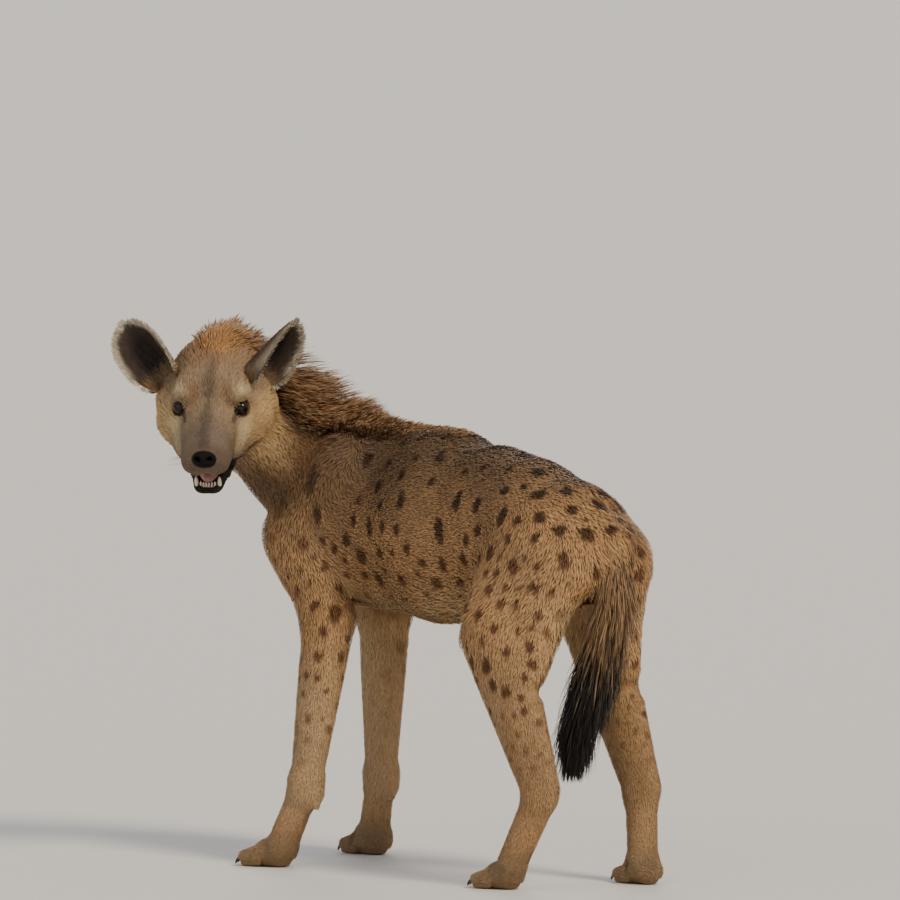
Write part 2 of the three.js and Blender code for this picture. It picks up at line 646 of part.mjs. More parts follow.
for (const { name, base, lean, facing } of ears) {
  const cup = earCup(base, headWay(...lean), headWay(...facing));
  add(name, cup.subtract(headSpace).subtract(neckSpace), coat);
}

// Eyes in their sockets, with a rim of lid round each
let head = headHull(0);
for (const hand of [1, -1]) {
  const centre = onHead(EYE.along, hand * EYE.apart, EYE.up);
  const gaze = headWay(0.78, hand * 0.6, 0.12);
  const lid = new THREE.TorusGeometry(EYE.radius, EYE.lidThickness, 5, 12).scale(1.12, 0.84, 1.2);
  const outward = gaze.clone().cross(headUp).cross(gaze).normalize();
  const basis = new THREE.Matrix4().makeBasis(outward.clone().cross(gaze), outward, gaze);
  lid.applyMatrix4(basis.setPosition(centre.clone().addScaledVector(gaze, EYE.lidAhead)));
  const eyeball = (radius) => ball(centre, headAxes, [radius, radius, radius], 12, 8);
  head = head.add(solid(lid)).subtract(eyeball(EYE.radius + GAP));
  add(hand > 0 ? "eye_left" : "eye_right", eyeball(EYE.radius), wetEye);
}

// Nose pad with two nostrils
const noseCentre = onHead(NOSE.along, 0, NOSE.up);
const noseHalf = [NOSE.halfWidth, NOSE.halfHeight, NOSE.halfDepth];
let nose = ball(noseCentre, headAxes, noseHalf, 12, 8).subtract(headSpace);
for (const hand of [1, -1]) {
  const nostril = onHead(NOSE.along + 14, hand * 9, NOSE.up + 1);
  const slit = onHead(NOSE.along + 9, hand * 16, NOSE.up - 3);
  nose = nose.subtract(ball(nostril, headAxes, [5.5, 4.8, 9], 8, 5));
  nose = nose.subtract(ball(slit, headAxes, [6, 2, 8], 6, 4));
}
head = head.intersect(ahead(headPlane, GAP)).add(locksOf(crownLocks).subtract(neckSpace));

// Lower jaw with its front teeth, and the tongue lying in it
const jawFlesh = new Flesh(jaw);
const jawStations = range(96, 224, 8).map((a) => ({
  centre: onJaw(a, 0, -90),
  u: headLeft,
  v: headAhead.clone().cross(headLeft),
}));
const jawHull = (offset) => solid(wrap(jawFlesh, jawStations, 12, 80, { offset }));
const jawAxes = [headLeft, onJaw(0, 0, 1).sub(onJaw(0, 0, 0)), onJaw(1, 0, 0).sub(onJaw(0, 0, 0))];
const TOOTH_ROOT = -88; // level of the roots in the jaw
const tooth = (along, left, height, radius) => {
  const geometry = new THREE.CylinderGeometry(radius * 0.35, radius, height, 5);
  geometry.applyQuaternion(new THREE.Quaternion().setFromUnitVectors(vec(0, 1, 0), jawAxes[1]));
  return solid(geometry.translate(...onJaw(along, left, TOOTH_ROOT + height / 2).toArray()));
};
const teeth = [
  ...range(-12, 12, 6).map((left) => tooth(232 - left * left * 0.02, left, 13, 2.9)),
  ...bothSides((hand) => tooth(224, hand * 18.5, 21, 4.6)),
];
const jawWhole = union([jawHull(0), ...teeth]).subtract(headSpace).subtract(neckSpace);
const tongue = ball(onJaw(172, 0, -78), jawAxes, [21, 9, 50], 12, 8);
add("head", head, faceCoat);
add("nose", nose, bareSkin);
add("lower_jaw", jawWhole, bareSkin);
add("tongue", tongue.subtract(jawHull(GAP)).subtract(union(teeth)).subtract(headSpace), tongueSkin);

// Tail, with rings of locks that hang down round its core and close below it
const tailFlesh = new Flesh(tailMasses, brushCore);
const tailLine = [...TAIL_PATH, BRUSH_END];
const tailStations = stationsOn(tailLine, 13);
const RINGS = 6;
const ringStations = stationsOn(tailLine, 30)
  .slice(11)
  .filter((_, i) => i % 3 === 0)
  .slice(0, RINGS);
const tailLocks = ringStations.flatMap((station, i) =>
  range(0, 300, 6).map((angle, k) => {
    const n = 200 + i * 11 + k;
    const outward = spoke(station, rad(angle + (i % 2) * 30 + 8 * scatter(n)));
    const surface = surfaceDistance(tailFlesh, station.centre, outward, 80, 0);
    const t = i / (RINGS - 1);
    return {
      root: station.centre.clone().addScaledVector(outward, Math.max(3, surface - ROOT_DEPTH)),
      outward,
      lie: station.along,
      length: lerp(80, 106, t) * (1 + 0.12 * scatter(n + 1)),
      width: 22,
      thick: 7,
      lift: lerp(0.28, 0.5, t),
      settle: lerp(0, -0.34, t),
    };
  }),
);
let tail = solid(wrap(tailFlesh, tailStations, 10, 80)).add(locksOf(tailLocks)).subtract(torsoSpace);
for (const leg of legs.slice(2)) {
  tail = tail.subtract(legHull(leg, GAP));
}
add("tail", tail, brushCoat);

export default group;
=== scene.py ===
"""Life-size still model of a spotted hyena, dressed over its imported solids.

The flesh is a smooth blend of tapered oval masses, in millimetres, in the animal's own frame:
+Z is up, it faces -Y and its left side is +X. One skin is drawn round that blend, and tufts and
locks of hair grow from the skin along the lie of the coat. Skin and coat share one set of markings.
"""

import logging
import math
from collections.abc import Callable, Sequence
from dataclasses import dataclass, field
from enum import Enum

import bpy
import numpy as np
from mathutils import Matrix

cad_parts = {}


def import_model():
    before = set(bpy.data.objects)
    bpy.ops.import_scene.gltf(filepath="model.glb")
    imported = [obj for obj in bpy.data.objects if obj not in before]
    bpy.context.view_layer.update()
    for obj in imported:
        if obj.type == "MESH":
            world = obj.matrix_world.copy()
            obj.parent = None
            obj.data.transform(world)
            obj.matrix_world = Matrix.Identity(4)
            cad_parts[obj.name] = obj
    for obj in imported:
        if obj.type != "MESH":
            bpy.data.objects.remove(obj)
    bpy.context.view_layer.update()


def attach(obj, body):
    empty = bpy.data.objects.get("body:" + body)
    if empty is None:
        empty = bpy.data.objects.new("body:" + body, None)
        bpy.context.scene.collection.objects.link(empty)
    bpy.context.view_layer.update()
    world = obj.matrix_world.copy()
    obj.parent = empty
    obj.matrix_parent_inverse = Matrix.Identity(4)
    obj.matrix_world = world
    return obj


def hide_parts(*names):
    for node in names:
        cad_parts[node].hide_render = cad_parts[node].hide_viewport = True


log = logging.getLogger("hyena")
Array = np.ndarray
Point = tuple[float, float, float]

ORIGIN = np.array([98.0, 19.0, 0.0])  # middle of the outline on the floor, in the animal's frame
MM = 0.001  # metres in a millimetre
SEED = 71  # starts the random draws of spots and hair


# Colours


def linear(hex_colour: str) -> Array:
    """Turns an sRGB hex colour such as "#C79A62" into linear RGB."""
    value = np.array([int(hex_colour[i : i + 2], 16) / 255 for i in (1, 3, 5)])
    return np.where(value <= 0.04045, value / 12.92, ((value + 0.055) / 1.055) ** 2.4)


TAN = linear("#BA8E5F")  # flank
GREY_TAN = linear("#8D7354")  # clouds in the coat, and the legs
CREAM = linear("#C9AE84")  # belly and insides of the legs
SPOT = linear("#5E3B24")  # spots low on the body
SPOT_DARK = linear("#3B2A1E")  # spots on the back
MANE = linear("#8F6743")
MANE_DARK = linear("#4A3220")
CROWN = linear("#BF8A54")  # golden start of the mane between the ears
BACK = linear("#65503D")  # saddle over the back and neck, partly the coat's own darker colour and partly painted shadow, and the backs of the ears
FACE = linear("#8A745A")
CHEEK = linear("#BE9C6C")
MUZZLE = linear("#5C5048")
MUZZLE_DARK = linear("#2E2723")  # stripe down the muzzle, partly dark coat and partly painted shadow, tear mark and chin
RUSSET = linear("#7C5236")  # brow spot, and a painted highlight on the cheek under the eye, along the side of the muzzle
PALE = linear("#D2BC92")  # brow spot and the cheek under the eye
LIP = linear("#171413")  # bare black skin
BRUSH = linear("#1B1512")  # tail
EAR_INSIDE = linear("#4A3D34")
EAR_RIM = linear("#E3D5BB")
PAW = linear("#7C664B")
LIP_SLOPE = 0.2  # the mouth runs down by this much for each millimetre ahead


def smooth(value: Array, low: float, high: float) -> Array:
    """Rises smoothly from 0 at low to 1 at high."""
    t = np.clip((value - low) / (high - low), 0, 1)
    return t * t * (3 - 2 * t)


def mix(a: Array, b: Array, weight: Array) -> Array:
    """Blends colours a into b by a weight for each row: all a at 0, all b at 1."""
    return a + (b - a) * np.asarray(weight)[..., None]


def unit(vectors: Array) -> Array:
    """Scales each row to length one."""
    return vectors / np.maximum(np.linalg.norm(vectors, axis=-1, keepdims=True), 1e-9)


# Masses of flesh


@dataclass(frozen=True)
class Mass:
    """A tapered oval mass from start to end.

    Each pair of halves is its half size along the side direction and its half size square to it.
    """

    start: Point
    end: Point
    start_half: tuple[float, float]
    end_half: tuple[float, float]
    side: Point = (1.0, 0.0, 0.0)
    blend: float = 30.0  # width of the valley where it meets the masses before it
    cap: float | None = None  # length of its rounded ends; by default its smaller half
    flow: float = 1.0  # 1 where hair lies from start to end, -1 the other way

    @property
    def axis(self) -> Array:
        """Unit direction from start to end."""
        return unit(np.subtract(self.end, self.start))

    def value(self, points: Array) -> Array:
        """Measures from the surface along the ray from the centre line, negative inside.

        The distance from the centre line is shortened by the part of the ray that lies inside the
        oval: distance times one less the inverse of the distance counted in half sizes.

        Args:
            points: Rows of places in millimetres.

        Returns:
            One distance for each row.
        """
        length = float(np.linalg.norm(np.subtract(self.end, self.start)))
        axis = self.axis
        side = unit(np.array(self.side) - axis * np.dot(self.side, axis))
        depth = np.cross(axis, side)
        offset = points - np.array(self.start)
        along = offset @ axis
        t = np.clip(along / length, 0, 1)
        past = along - t * length
        s, d = offset @ side, offset @ depth
        w = self.start_half[0] + (self.end_half[0] - self.start_half[0]) * t
        h = self.start_half[1] + (self.end_half[1] - self.start_half[1]) * t
        cap = np.minimum(w, h) if self.cap is None else self.cap
        reach = np.sqrt(s * s + d * d + past * past) + 1e-6
        scaled = np.sqrt((s / w) ** 2 + (d / h) ** 2 + (past / cap) ** 2)
        return reach * (1 - 1 / np.maximum(scaled, 1e-3))

    def near(self, points: Array, margin: float) -> Array:
        """Tells which points lie in the mass's own box grown by a margin.

        Args:
            points: Rows of places in millimetres.
            margin: How far the box is grown.

        Returns:
            One truth value for each row.
        """
        reach = max(*self.start_half, *self.end_half) + margin
        low = np.minimum(self.start, self.end) - reach
        high = np.maximum(self.start, self.end) + reach
        return np.all((points > low) & (points < high), axis=1)


FAR = 400.0  # distance given to points that no mass is near
NEAR = 60.0  # masses further from a point than this leave it alone


@dataclass
class Flesh:
    """Masses run together with rounded valleys between them."""

    masses: list[Mass]

    def value(self, points: Array) -> Array:
        """Blends the masses' distances one after another.

        Each new distance replaces the smaller one so far, less a quarter of the blend where both
        are equal, which fades to nothing where they differ by the whole blend.

        Args:
            points: Rows of places in millimetres.

        Returns:
            One distance for each row, negative inside.
        """
        total = np.full(len(points), FAR)
        for mass in self.masses:
            rows = np.flatnonzero(mass.near(points, NEAR))
            if len(rows) == 0:
                continue
            fresh = mass.value(points[rows])
            held = total[rows]
            close = np.maximum(mass.blend - np.abs(held - fresh), 0) / mass.blend
            total[rows] = np.minimum(held, fresh) - close * close * mass.blend * 0.25
        return total

    def lie(self, points: Array) -> Array:
        """Finds the direction the coat runs in, from the masses nearest to each point.

        A mass counts fully for a point 12 mm inside it. For each 14 mm further out its weight
        falls to 0.37 of what it was.

        Args:
            points: Rows of places in millimetres.

        Returns:
            Rows of unit directions.
        """
        total = np.zeros_like(points)
        for mass in self.masses:
            rows = np.flatnonzero(mass.near(points, NEAR))
            if len(rows):
                weight = np.exp(-np.maximum(mass.value(points[rows]) + 12, 0) / 14)
                total[rows] += weight[:, None] * mass.axis * mass.flow
        return unit(total)


# Head frame

OCCIPUT = np.array([192.0, -363.0, 850.0])
HEAD_TURN = math.radians(135)  # from straight ahead towards the left side
HEAD_DIP = math.radians(22)  # nose below the level of the occiput
JAW_OPEN = math.radians(11)  # how far the mouth stands open
JAW_HINGE = (66.0, -66.0)  # ahead, up

AHEAD = np.array(
    [
        math.sin(HEAD_TURN) * math.cos(HEAD_DIP),
        -math.cos(HEAD_TURN) * math.cos(HEAD_DIP),
        -math.sin(HEAD_DIP),
    ]
)
LEFT = unit(np.cross([0, 0, 1], AHEAD))
UP = np.cross(AHEAD, LEFT)
HEAD_AXES = np.stack([AHEAD, LEFT, UP])


def on_head(ahead: float, left: float, up: float) -> Point:
    """Places a point of the head from its distances ahead, to the left and up."""
    return tuple(OCCIPUT + AHEAD * ahead + LEFT * left + UP * up)


def in_head(points: Array) -> Array:
    """Turns places into the head's own distances ahead, to the left and up."""
    return (points - OCCIPUT) @ HEAD_AXES.T


def on_jaw(ahead: float, left: float, up: float) -> Point:
    """Places a point of the lower jaw, which is turned down about its joint.

    Args:
        ahead: Distance ahead of the occiput, with the mouth shut.
        left: Distance to the left.
        up: Distance up.

    Returns:
        The place with the mouth open.
    """
    a, u = ahead - JAW_HINGE[0], up - JAW_HINGE[1]
    c, s = math.cos(JAW_OPEN), math.sin(JAW_OPEN)
    return on_head(JAW_HINGE[0] + a * c + u * s, left, JAW_HINGE[1] - a * s + u * c)


JAW_AHEAD = np.subtract(on_jaw(1, 0, 0), on_jaw(0, 0, 0))
JAW_UP = np.subtract(on_jaw(0, 0, 1), on_jaw(0, 0, 0))


@dataclass(frozen=True)
class Eye:
    """Place, size and opening of an eye, for the left side."""

    along: float = 132.0
    apart: float = 52.0
    up: float = -10.5
    radius: float = 12.5
    half_width: float = 11.0
    half_height: float = 5.6

    def centre(self, hand: int) -> Array:
        """Centre of the eyeball on one side."""
        return np.array(on_head(self.along, hand * self.apart, self.up))

    def axes(self, hand: int) -> Array:
        """Finds the eye's own directions.

        Args:
            hand: 1 for the left and -1 for the right.

        Returns:
            Rows: towards the outer corner, up, and the way the eye looks.
        """
        gaze = unit(AHEAD * 0.78 + LEFT * hand * 0.6 + UP * 0.12)
        up = unit(UP - gaze * np.dot(UP, gaze))
        outer = np.cross(up, gaze) * hand
        return np.stack([outer, up, gaze])


EYE = Eye()
NOSE = np.array([259.0, 0.0, -49.0])  # front end of the nose pad's centre line, in the head's own distances
NOSE_HALF = (20.0, 15.5)


def both(build: Callable[[int], Mass]) -> list[Mass]:
    """Builds one mass for each side."""
    return [build(1), build(-1)]


def head_mass(start: Point, end: Point, a: tuple, b: tuple, **options: float) -> Mass:
    """A mass in the head's own distances."""
    settings = {"blend": 16.0, "flow": -1.0} | options
    return Mass(on_head(*start), on_head(*end), a, b, side=tuple(LEFT), **settings)


def jaw_mass(start: Point, end: Point, a: tuple, b: tuple, **options: float | Point) -> Mass:
    """A mass of the lower jaw."""
    settings = {"blend": 7.0, "flow": -1.0, "side": tuple(LEFT)} | options
    return Mass(on_jaw(*start), on_jaw(*end), a, b, **settings)


def skull_masses() -> list[Mass]:
    """Lists the head without its lower jaw.

    Returns:
        Brain case, muzzle, its bridge, throat, cheeks, brows, upper jaws, nose pad and lips.
    """
    return [
        head_mass((20, 0, -6), (92, 0, -12), (80, 70), (76, 60), blend=24.0),
        head_mass((118, 0, -40), (238, 0, -50), (58, 48), (41, 31), blend=24.0, cap=22.0),
        head_mass((125, 0, -14), (244, 0, -35), (27, 19), (17, 14), cap=10.0),
        head_mass((60, 0, -62), (118, 0, -66), (62, 44), (52, 34), blend=24.0),
        *both(lambda h: head_mass((50, h * 61, -40), (98, h * 60, -46), (46, 54), (38, 42), blend=22.0)),
        *both(lambda h: head_mass((92, h * 60, -60), (166, h * 38, -72), (32, 34), (22, 22), blend=22.0)),
        *both(lambda h: head_mass((104, h * 36, 20), (138, h * 47, 9), (20, 17), (13, 10), blend=18.0)),
        *both(lambda h: head_mass((200, h * 22, -64), (240, h * 19, -66), (23, 20), (20, 17), blend=12.0)),
        head_mass((NOSE[0] - 8, 0, NOSE[2] + 2), tuple(NOSE), (18, 14), NOSE_HALF, blend=4.0, cap=14.0),
        *both(lambda h: head_mass((244, h * 15, -81), (196, h * 31, -83), (5, 5), (5, 5), blend=5.0)),
        *both(lambda h: head_mass((196, h * 31, -83), (142, h * 46, -88), (5, 5), (4, 4), blend=5.0)),
    ]


def jaw_masses() -> list[Mass]:
    """Lists the lower jaw and its lips.

    Returns:
        The jaw's body, its front lip, its two arms and their lips.
    """
    return [
        jaw_mass((84, 0, -89), (228, 0, -93), (50, 23), (27, 11), cap=14.0),
        jaw_mass((238, -11, -84), (238, 11, -84), (5, 5), (5, 5), blend=5.0, side=tuple(AHEAD)),
        *both(lambda h: jaw_mass((110, h * 34, -88), (222, h * 19, -90), (14, 15), (11, 11))),
        *both(lambda h: jaw_mass((237, h * 12, -84), (190, h * 28, -81), (5, 5), (5, 5), blend=4.0)),
        *both(lambda h: jaw_mass((190, h * 28, -81), (128, h * 43, -81), (5, 5), (4.5, 4.5), blend=4.0)),
    ]


# Trunk, legs, neck and tail


@dataclass(frozen=True)
class Leg:
    """Joints of one leg from the top down, and where its paw stands."""

    name: str
    fore: bool
    hand: int
    top: Point
    middle: Point
    knuckle: Point
    paw: tuple[float, float]
    turn: float

    def masses(self) -> list[Mass]:
        """Lists the flesh of the leg below the trunk, its paw and toes.

        Returns:
            Upper part, wrist or heel, lower part, the pad or sinew behind it, and the paw.
        """
        mid = np.array(self.middle)
        if self.fore:
            limb = [
                Mass(self.top, self.middle, (40, 56), (25, 31), blend=22.0),
                Mass(tuple(mid + (0, 2, 12)), tuple(mid + (0, 4, -12)), (28, 34), (27, 33), blend=14.0),
                Mass(self.middle, self.knuckle, (25, 28), (29, 26), blend=16.0),
                Mass(tuple(mid + (0, 22, -18)), tuple(mid + (0, 29, -30)), (11, 11), (8, 8), blend=9.0),
            ]
        else:
            depth = 75 if self.hand > 0 else 70
            limb = [
                Mass(self.top, self.middle, (44, depth), (24, 33), blend=24.0),
                Mass(tuple(mid + (0, -20, 150)), tuple(mid + (0, 28, 18)), (14, 20), (15, 15), blend=20.0),
                Mass(self.middle, self.knuckle, (25, 33), (28, 25), blend=18.0),
            ]
        return limb + self.paw_masses()

    def paw_size(self) -> tuple[float, float, float]:
        """Half width, length and height of the paw."""
        return (38.0, 108.0, 40.0) if self.fore else (35.0, 100.0, 38.0)

    def on_paw(self, x: float, y: float, z: float) -> Point:
        """A point of the paw: across it, towards the tail and up."""
        c, s = math.cos(self.turn), math.sin(self.turn)
        return (self.paw[0] + x * c - y * s, self.paw[1] + x * s + y * c, z)

    def toes(self) -> list[tuple[float, float]]:
        """Places the four toes, the middle two furthest ahead.

        Returns:
            Centre of each toe, across and towards the tail.
        """
        half, length, _ = self.paw_size()
        slots = (-1.5, -0.5, 0.5, 1.5)
        return [(slot * half * 0.5, -length * (0.27 if abs(slot) < 1 else 0.17)) for slot in slots]

    def furrows(self) -> list[tuple[Point, Point]]:
        """Lists the furrows between the toes, and behind the outer ones.

        Returns:
            Start and end of each furrow.
        """
        half, length, height = self.paw_size()
        lines = [
            (self.on_paw(x * 0.92, 2, height * 0.8), self.on_paw(x, -length * 0.4, height * 0.36))
            for x in (-half * 0.5, 0.0, half * 0.5)
        ]
        for x in (-half, half):
            foot = self.on_paw(x, -length * 0.03, 2)
            lines.append((foot, self.on_paw(x * 0.78, length * 0.04, height * 0.95)))
        return lines

    def paw_masses(self) -> list[Mass]:
        """Lists the broad pad and the four toes.

        Returns:
            The pad first.
        """
        half, length, height = self.paw_size()
        side = (math.cos(self.turn), math.sin(self.turn), 0.0)
        back = self.on_paw(0, length * 0.26, height * 0.55)
        front = self.on_paw(0, length * 0.02, height * 0.6)
        thick = (half * 0.74, height * 0.58), (half * 0.86, height * 0.64)
        masses = [Mass(back, front, *thick, side=side, blend=26.0)]
        for x, y in self.toes():
            rear = self.on_paw(x * 0.9, y + length * 0.14, height * 0.5)
            tip = self.on_paw(x, y - length * 0.12, height * 0.36)
            thick = (half * 0.29, height * 0.46), (half * 0.26, height * 0.36)
            masses.append(Mass(rear, tip, *thick, side=side, blend=5.0))
        return masses


LEGS = [
    Leg(
        name="fore_left",
        fore=True,
        hand=1,
        top=(110, -164, 430),
        middle=(136, -196, 142),
        knuckle=(148, -240, 46),
        paw=(151, -279),
        turn=math.radians(12),
    ),
    Leg(
        name="fore_right",
        fore=True,
        hand=-1,
        top=(-102, -272, 425),
        middle=(-119, -303, 136),
        knuckle=(-124, -326, 46),
        paw=(-126, -347),
        turn=math.radians(-4),
    ),
    Leg(
        name="hind_left",
        fore=False,
        hand=1,
        top=(110, 266, 432),
        middle=(103, 382, 160),
        knuckle=(107, 318, 50),
        paw=(107, 280),
        turn=math.radians(8),
    ),
    Leg(
        name="hind_right",
        fore=False,
        hand=-1,
        top=(-116, 268, 430),
        middle=(-127, 374, 150),
        knuckle=(-132, 372, 50),
        paw=(-134, 363),
        turn=math.radians(-6),
    ),
]

TRUNK = [
    Mass((22, -240, 592), (0, 20, 590), (104, 146), (124, 158), blend=40.0),
    Mass((0, 20, 587), (0, 230, 590), (122, 154), (106, 122), blend=40.0),
    Mass((0, 150, 606), (0, 310, 585), (98, 124), (106, 104), blend=40.0),
    Mass((0, 345, 572), (0, 395, 556), (104, 96), (90, 82), blend=40.0, cap=78.0),
    Mass((20, -220, 686), (0, 60, 668), (58, 82), (48, 72), blend=50.0),
    Mass((34, -268, 560), (36, -276, 500), (88, 84), (74, 66), blend=45.0),
    Mass((74, -150, 690), (98, -266, 565), (38, 66), (48, 64), blend=40.0),
    Mass((98, -266, 565), (110, -168, 430), (46, 62), (42, 54), blend=35.0),
    Mass((-60, -190, 690), (-72, -318, 565), (38, 66), (46, 64), blend=40.0),
    Mass((-72, -318, 565), (-102, -275, 425), (44, 60), (40, 54), blend=35.0),
    Mass((66, 342, 570), (104, 272, 440), (58, 110), (46, 80), blend=40.0),
    Mass((58, 392, 556), (98, 345, 370), (46, 52), (30, 40), blend=35.0),
    Mass((-66, 345, 570), (-112, 270, 440), (58, 110), (46, 78), blend=40.0),
    Mass((-58, 394, 556), (-110, 342, 370), (46, 52), (30, 40), blend=35.0),
]

NECK_PATH = np.array([[22, -240, 640], [49.5, -318, 707.5], [108.5, -369, 777], OCCIPUT + (-4, -4, -12)])
NECK_HALF = [(84, 112), (80, 105), (76, 97), (74, 80)]


def neck_masses() -> list[Mass]:
    """Lists the arc of the neck from the chest to the occiput.

    Returns:
        Three masses end to end.
    """
    masses = []
    for i in range(3):
        side = unit(np.cross([0, 0, 1], NECK_PATH[i + 1] - NECK_PATH[i]))
        ends = tuple(NECK_PATH[i]), tuple(NECK_PATH[i + 1])
        masses.append(Mass(*ends, NECK_HALF[i], NECK_HALF[i + 1], side=tuple(side), blend=40.0, flow=-1.0))
    return masses


TAIL_PATH = np.array(
    [[0, 400, 600], [2, 452, 575], [5, 462, 500], [12, 425, 395], [24, 391, 300], [29, 384, 250]]
)
TAIL_HALF = (38, 32, 24, 19, 14, 8)


def tail_masses() -> list[Mass]:
    """Lists the flesh of the tail under its hair.

    Returns:
        Masses end to end from the rump down.
    """
    ends = [(tuple(place), (half, half)) for place, half in zip(TAIL_PATH, TAIL_HALF)]
    return [Mass(a, b, thick, thin, blend=20.0) for (a, thick), (b, thin) in zip(ends, ends[1:])]


def smooth_max(a: Array, b: Array, blend: float) -> Array:
    """The larger of two distances, rounded where they meet."""
    close = np.maximum(blend - np.abs(a - b), 0) / blend
    return np.maximum(a, b) + close * close * blend * 0.25


def capsule(points: Array, start: Point, end: Point, radius: float) -> Array:
    """Measures from a round rod with rounded ends.

    Args:
        points: Rows of places in millimetres.
        start: One end of its centre line.
        end: The other end.
        radius: Its radius.

    Returns:
        One distance for each row, negative inside.
    """
    a, b = np.array(start), np.array(end)
    t = np.clip(((points - a) @ (b - a)) / np.dot(b - a, b - a), 0, 1)
    return np.linalg.norm(points - a - t[:, None] * (b - a), axis=1) - radius


PAW_HEIGHT = 48.0  # the paws' furrows and flat soles lie below this
FURROW = 1.8  # radius of a furrow
SOLE = 0.3  # gap between the soles and the floor, so that nothing dips under it


@dataclass
class Animal:
    """The whole flesh, with the carved parts of the face."""

    flesh: Flesh = field(
        default_factory=lambda: Flesh(
            [
                *TRUNK,
                *(mass for leg in LEGS for mass in leg.masses()),
                *neck_masses(),
                *tail_masses(),
                *skull_masses(),
                *jaw_masses(),
            ]
        )
    )

    def value(self, points: Array) -> Array:
        """Measures from the outside of the coat, or from bare skin on the face.

        Args:
            points: Rows of places in millimetres.

        Returns:
            One distance for each row, negative inside.
        """
        total = self.flesh.value(points)
        head = in_head(points)
        rows = np.flatnonzero((head[:, 0] > 90) & (head[:, 0] < 300) & (np.abs(head[:, 1]) < 90))
        if len(rows):
            total[rows] = self.carve(head[rows], points[rows], total[rows])
        rows = np.flatnonzero(points[:, 2] < PAW_HEIGHT)
        if len(rows):
            total[rows] = self.part_toes(points[rows], total[rows])
            total[rows] = smooth_max(total[rows], SOLE - points[rows, 2], 3)
        return total

    def part_toes(self, points: Array, total: Array) -> Array:
        """Cuts the furrows between the toes.

        Args:
            points: Rows of places near the floor.
            total: Distance from the flesh before the furrows.

        Returns:
            Distance after them.
        """
        for leg in LEGS:
            for start, end in leg.furrows():
                total = smooth_max(total, -capsule(points, start, end, FURROW), 4)
        return total

    def carve(self, head: Array, points: Array, total: Array) -> Array:
        """Cuts sockets and nostrils into the head and lays lids over the eyes.

        Args:
            head: The points in the head's own distances.
            points: The same points in the animal's frame.
            total: Distance from the flesh before carving.

        Returns:
            Distance after carving.
        """
        folded = np.stack([head[:, 0], np.abs(head[:, 1]), head[:, 2]], axis=1)
        nostril = capsule(folded, (276, 8.2, -46), (262, 10.5, -45), 4.4)
        wing = capsule(folded, (273, 11.5, -47), (262, 21, -52), 2.0)
        total = smooth_max(total, -np.minimum(nostril, wing), 2.5)
        total = smooth_max(total, -capsule(folded, (279, 0, -44), (262, 0, -84), 1.8), 2)
        for hand in (1, -1):
            local = (points - EYE.centre(hand)) @ EYE.axes(hand).T
            away = np.linalg.norm(local, axis=1)
            total = smooth_max(total, EYE.radius + 0.4 - away, 1.5)
            droop = np.abs(local[:, 1] - 0.14 * local[:, 0])
            opening = (droop - EYE.half_height * (1 - (local[:, 0] / EYE.half_width) ** 2)) * 0.75
            shell = np.abs(away - EYE.radius - 2.0) - 1.7
            lid = smooth_max(smooth_max(shell, -opening, 1.2), 2.0 - local[:, 2], 2)
            close = np.maximum(3 - np.abs(total - lid), 0) / 3
            total = np.minimum(total, lid) - close * close * 0.75
        return total

    def normal(self, points: Array, step: float = 0.6) -> tuple[Array, Array]:
        """Finds which way is out, from differences of the distance along each axis.

        Args:
            points: Rows of places in millimetres.
            step: How far to each side the distance is measured.

        Returns:
            Unit directions, and the slope of the distance.
        """
        slope = np.empty_like(points)
        for k in range(3):
            shift = np.zeros(3)
            shift[k] = step
            slope[:, k] = (self.value(points + shift) - self.value(points - shift)) / (2 * step)
        size = np.linalg.norm(slope, axis=1)
        return slope / np.maximum(size, 1e-6)[:, None], size


# Walls of the block of space that holds the head, in the head's own distances
HEAD_BACK, HEAD_FRONT, HEAD_SIDE, HEAD_DOWN = 28.0, 330.0, 118.0, 146.0


def head_space(points: Array, grow: float = 0.0) -> Array:
    """Negative in the block of space that holds the head, from just behind the ears forwards.

    Args:
        points: Rows of places in millimetres.
        grow: How much larger the block is drawn.

    Returns:
        One value for each point.
    """
    a, s, u = in_head(points).T
    walls = [HEAD_BACK - a, np.abs(s) - HEAD_SIDE, -u - HEAD_DOWN, a - HEAD_FRONT]
    return np.maximum.reduce(walls) - grow


def coat_depth(points: Array) -> Array:
    """Tells how far the skin lies under the outside of the coat.

    It is 3 mm on the face and feet, 7.5 mm on the trunk and neck, and nothing on bare skin.

    Args:
        points: Rows of places in millimetres.

    Returns:
        One depth for each row.
    """
    head = in_head(points)
    face = smooth(-head_space(points), -10, 62)
    bare = smooth(head[:, 0], 215, 240) * face
    body = 3.0 + 4.5 * smooth(points[:, 2], 300, 480)
    depth = body * (1 - face) + 3.0 * face
    return (depth * (1 - bare) + 0.2 * bare) * smooth(points[:, 2], 0, 10)


# Drawing a surface round the flesh


CHUNK = 400_000  # points measured at a time, to save memory


def sample_grid(value: Callable[[Array], Array], low: Array, count: Array, cell: float) -> Array:
    """Measures a distance on a grid, finely only where the surface passes.

    Args:
        value: Distance function, negative inside.
        low: Lowest corner of the grid.
        count: Number of grid points along each axis.
        cell: Spacing of the grid.

    Returns:
        Distances on the grid; far from the surface only their sign holds.
    """
    step = 4
    index = [np.arange(0, n + step, step) for n in count]
    coarse_points = low + cell * np.stack(np.meshgrid(*index, indexing="ij"), axis=-1)
    coarse = value(coarse_points.reshape(-1, 3)).reshape(coarse_points.shape[:3])
    nearest = np.ix_(*[(np.arange(n) + step // 2) // step for n in count])
    grid = coarse[nearest]
    rows = np.argwhere(np.abs(grid) < cell * step * 1.9)
    for start in range(0, len(rows), CHUNK):
        part = rows[start : start + CHUNK]
        grid[tuple(part.T)] = value(low + cell * part)
    return grid


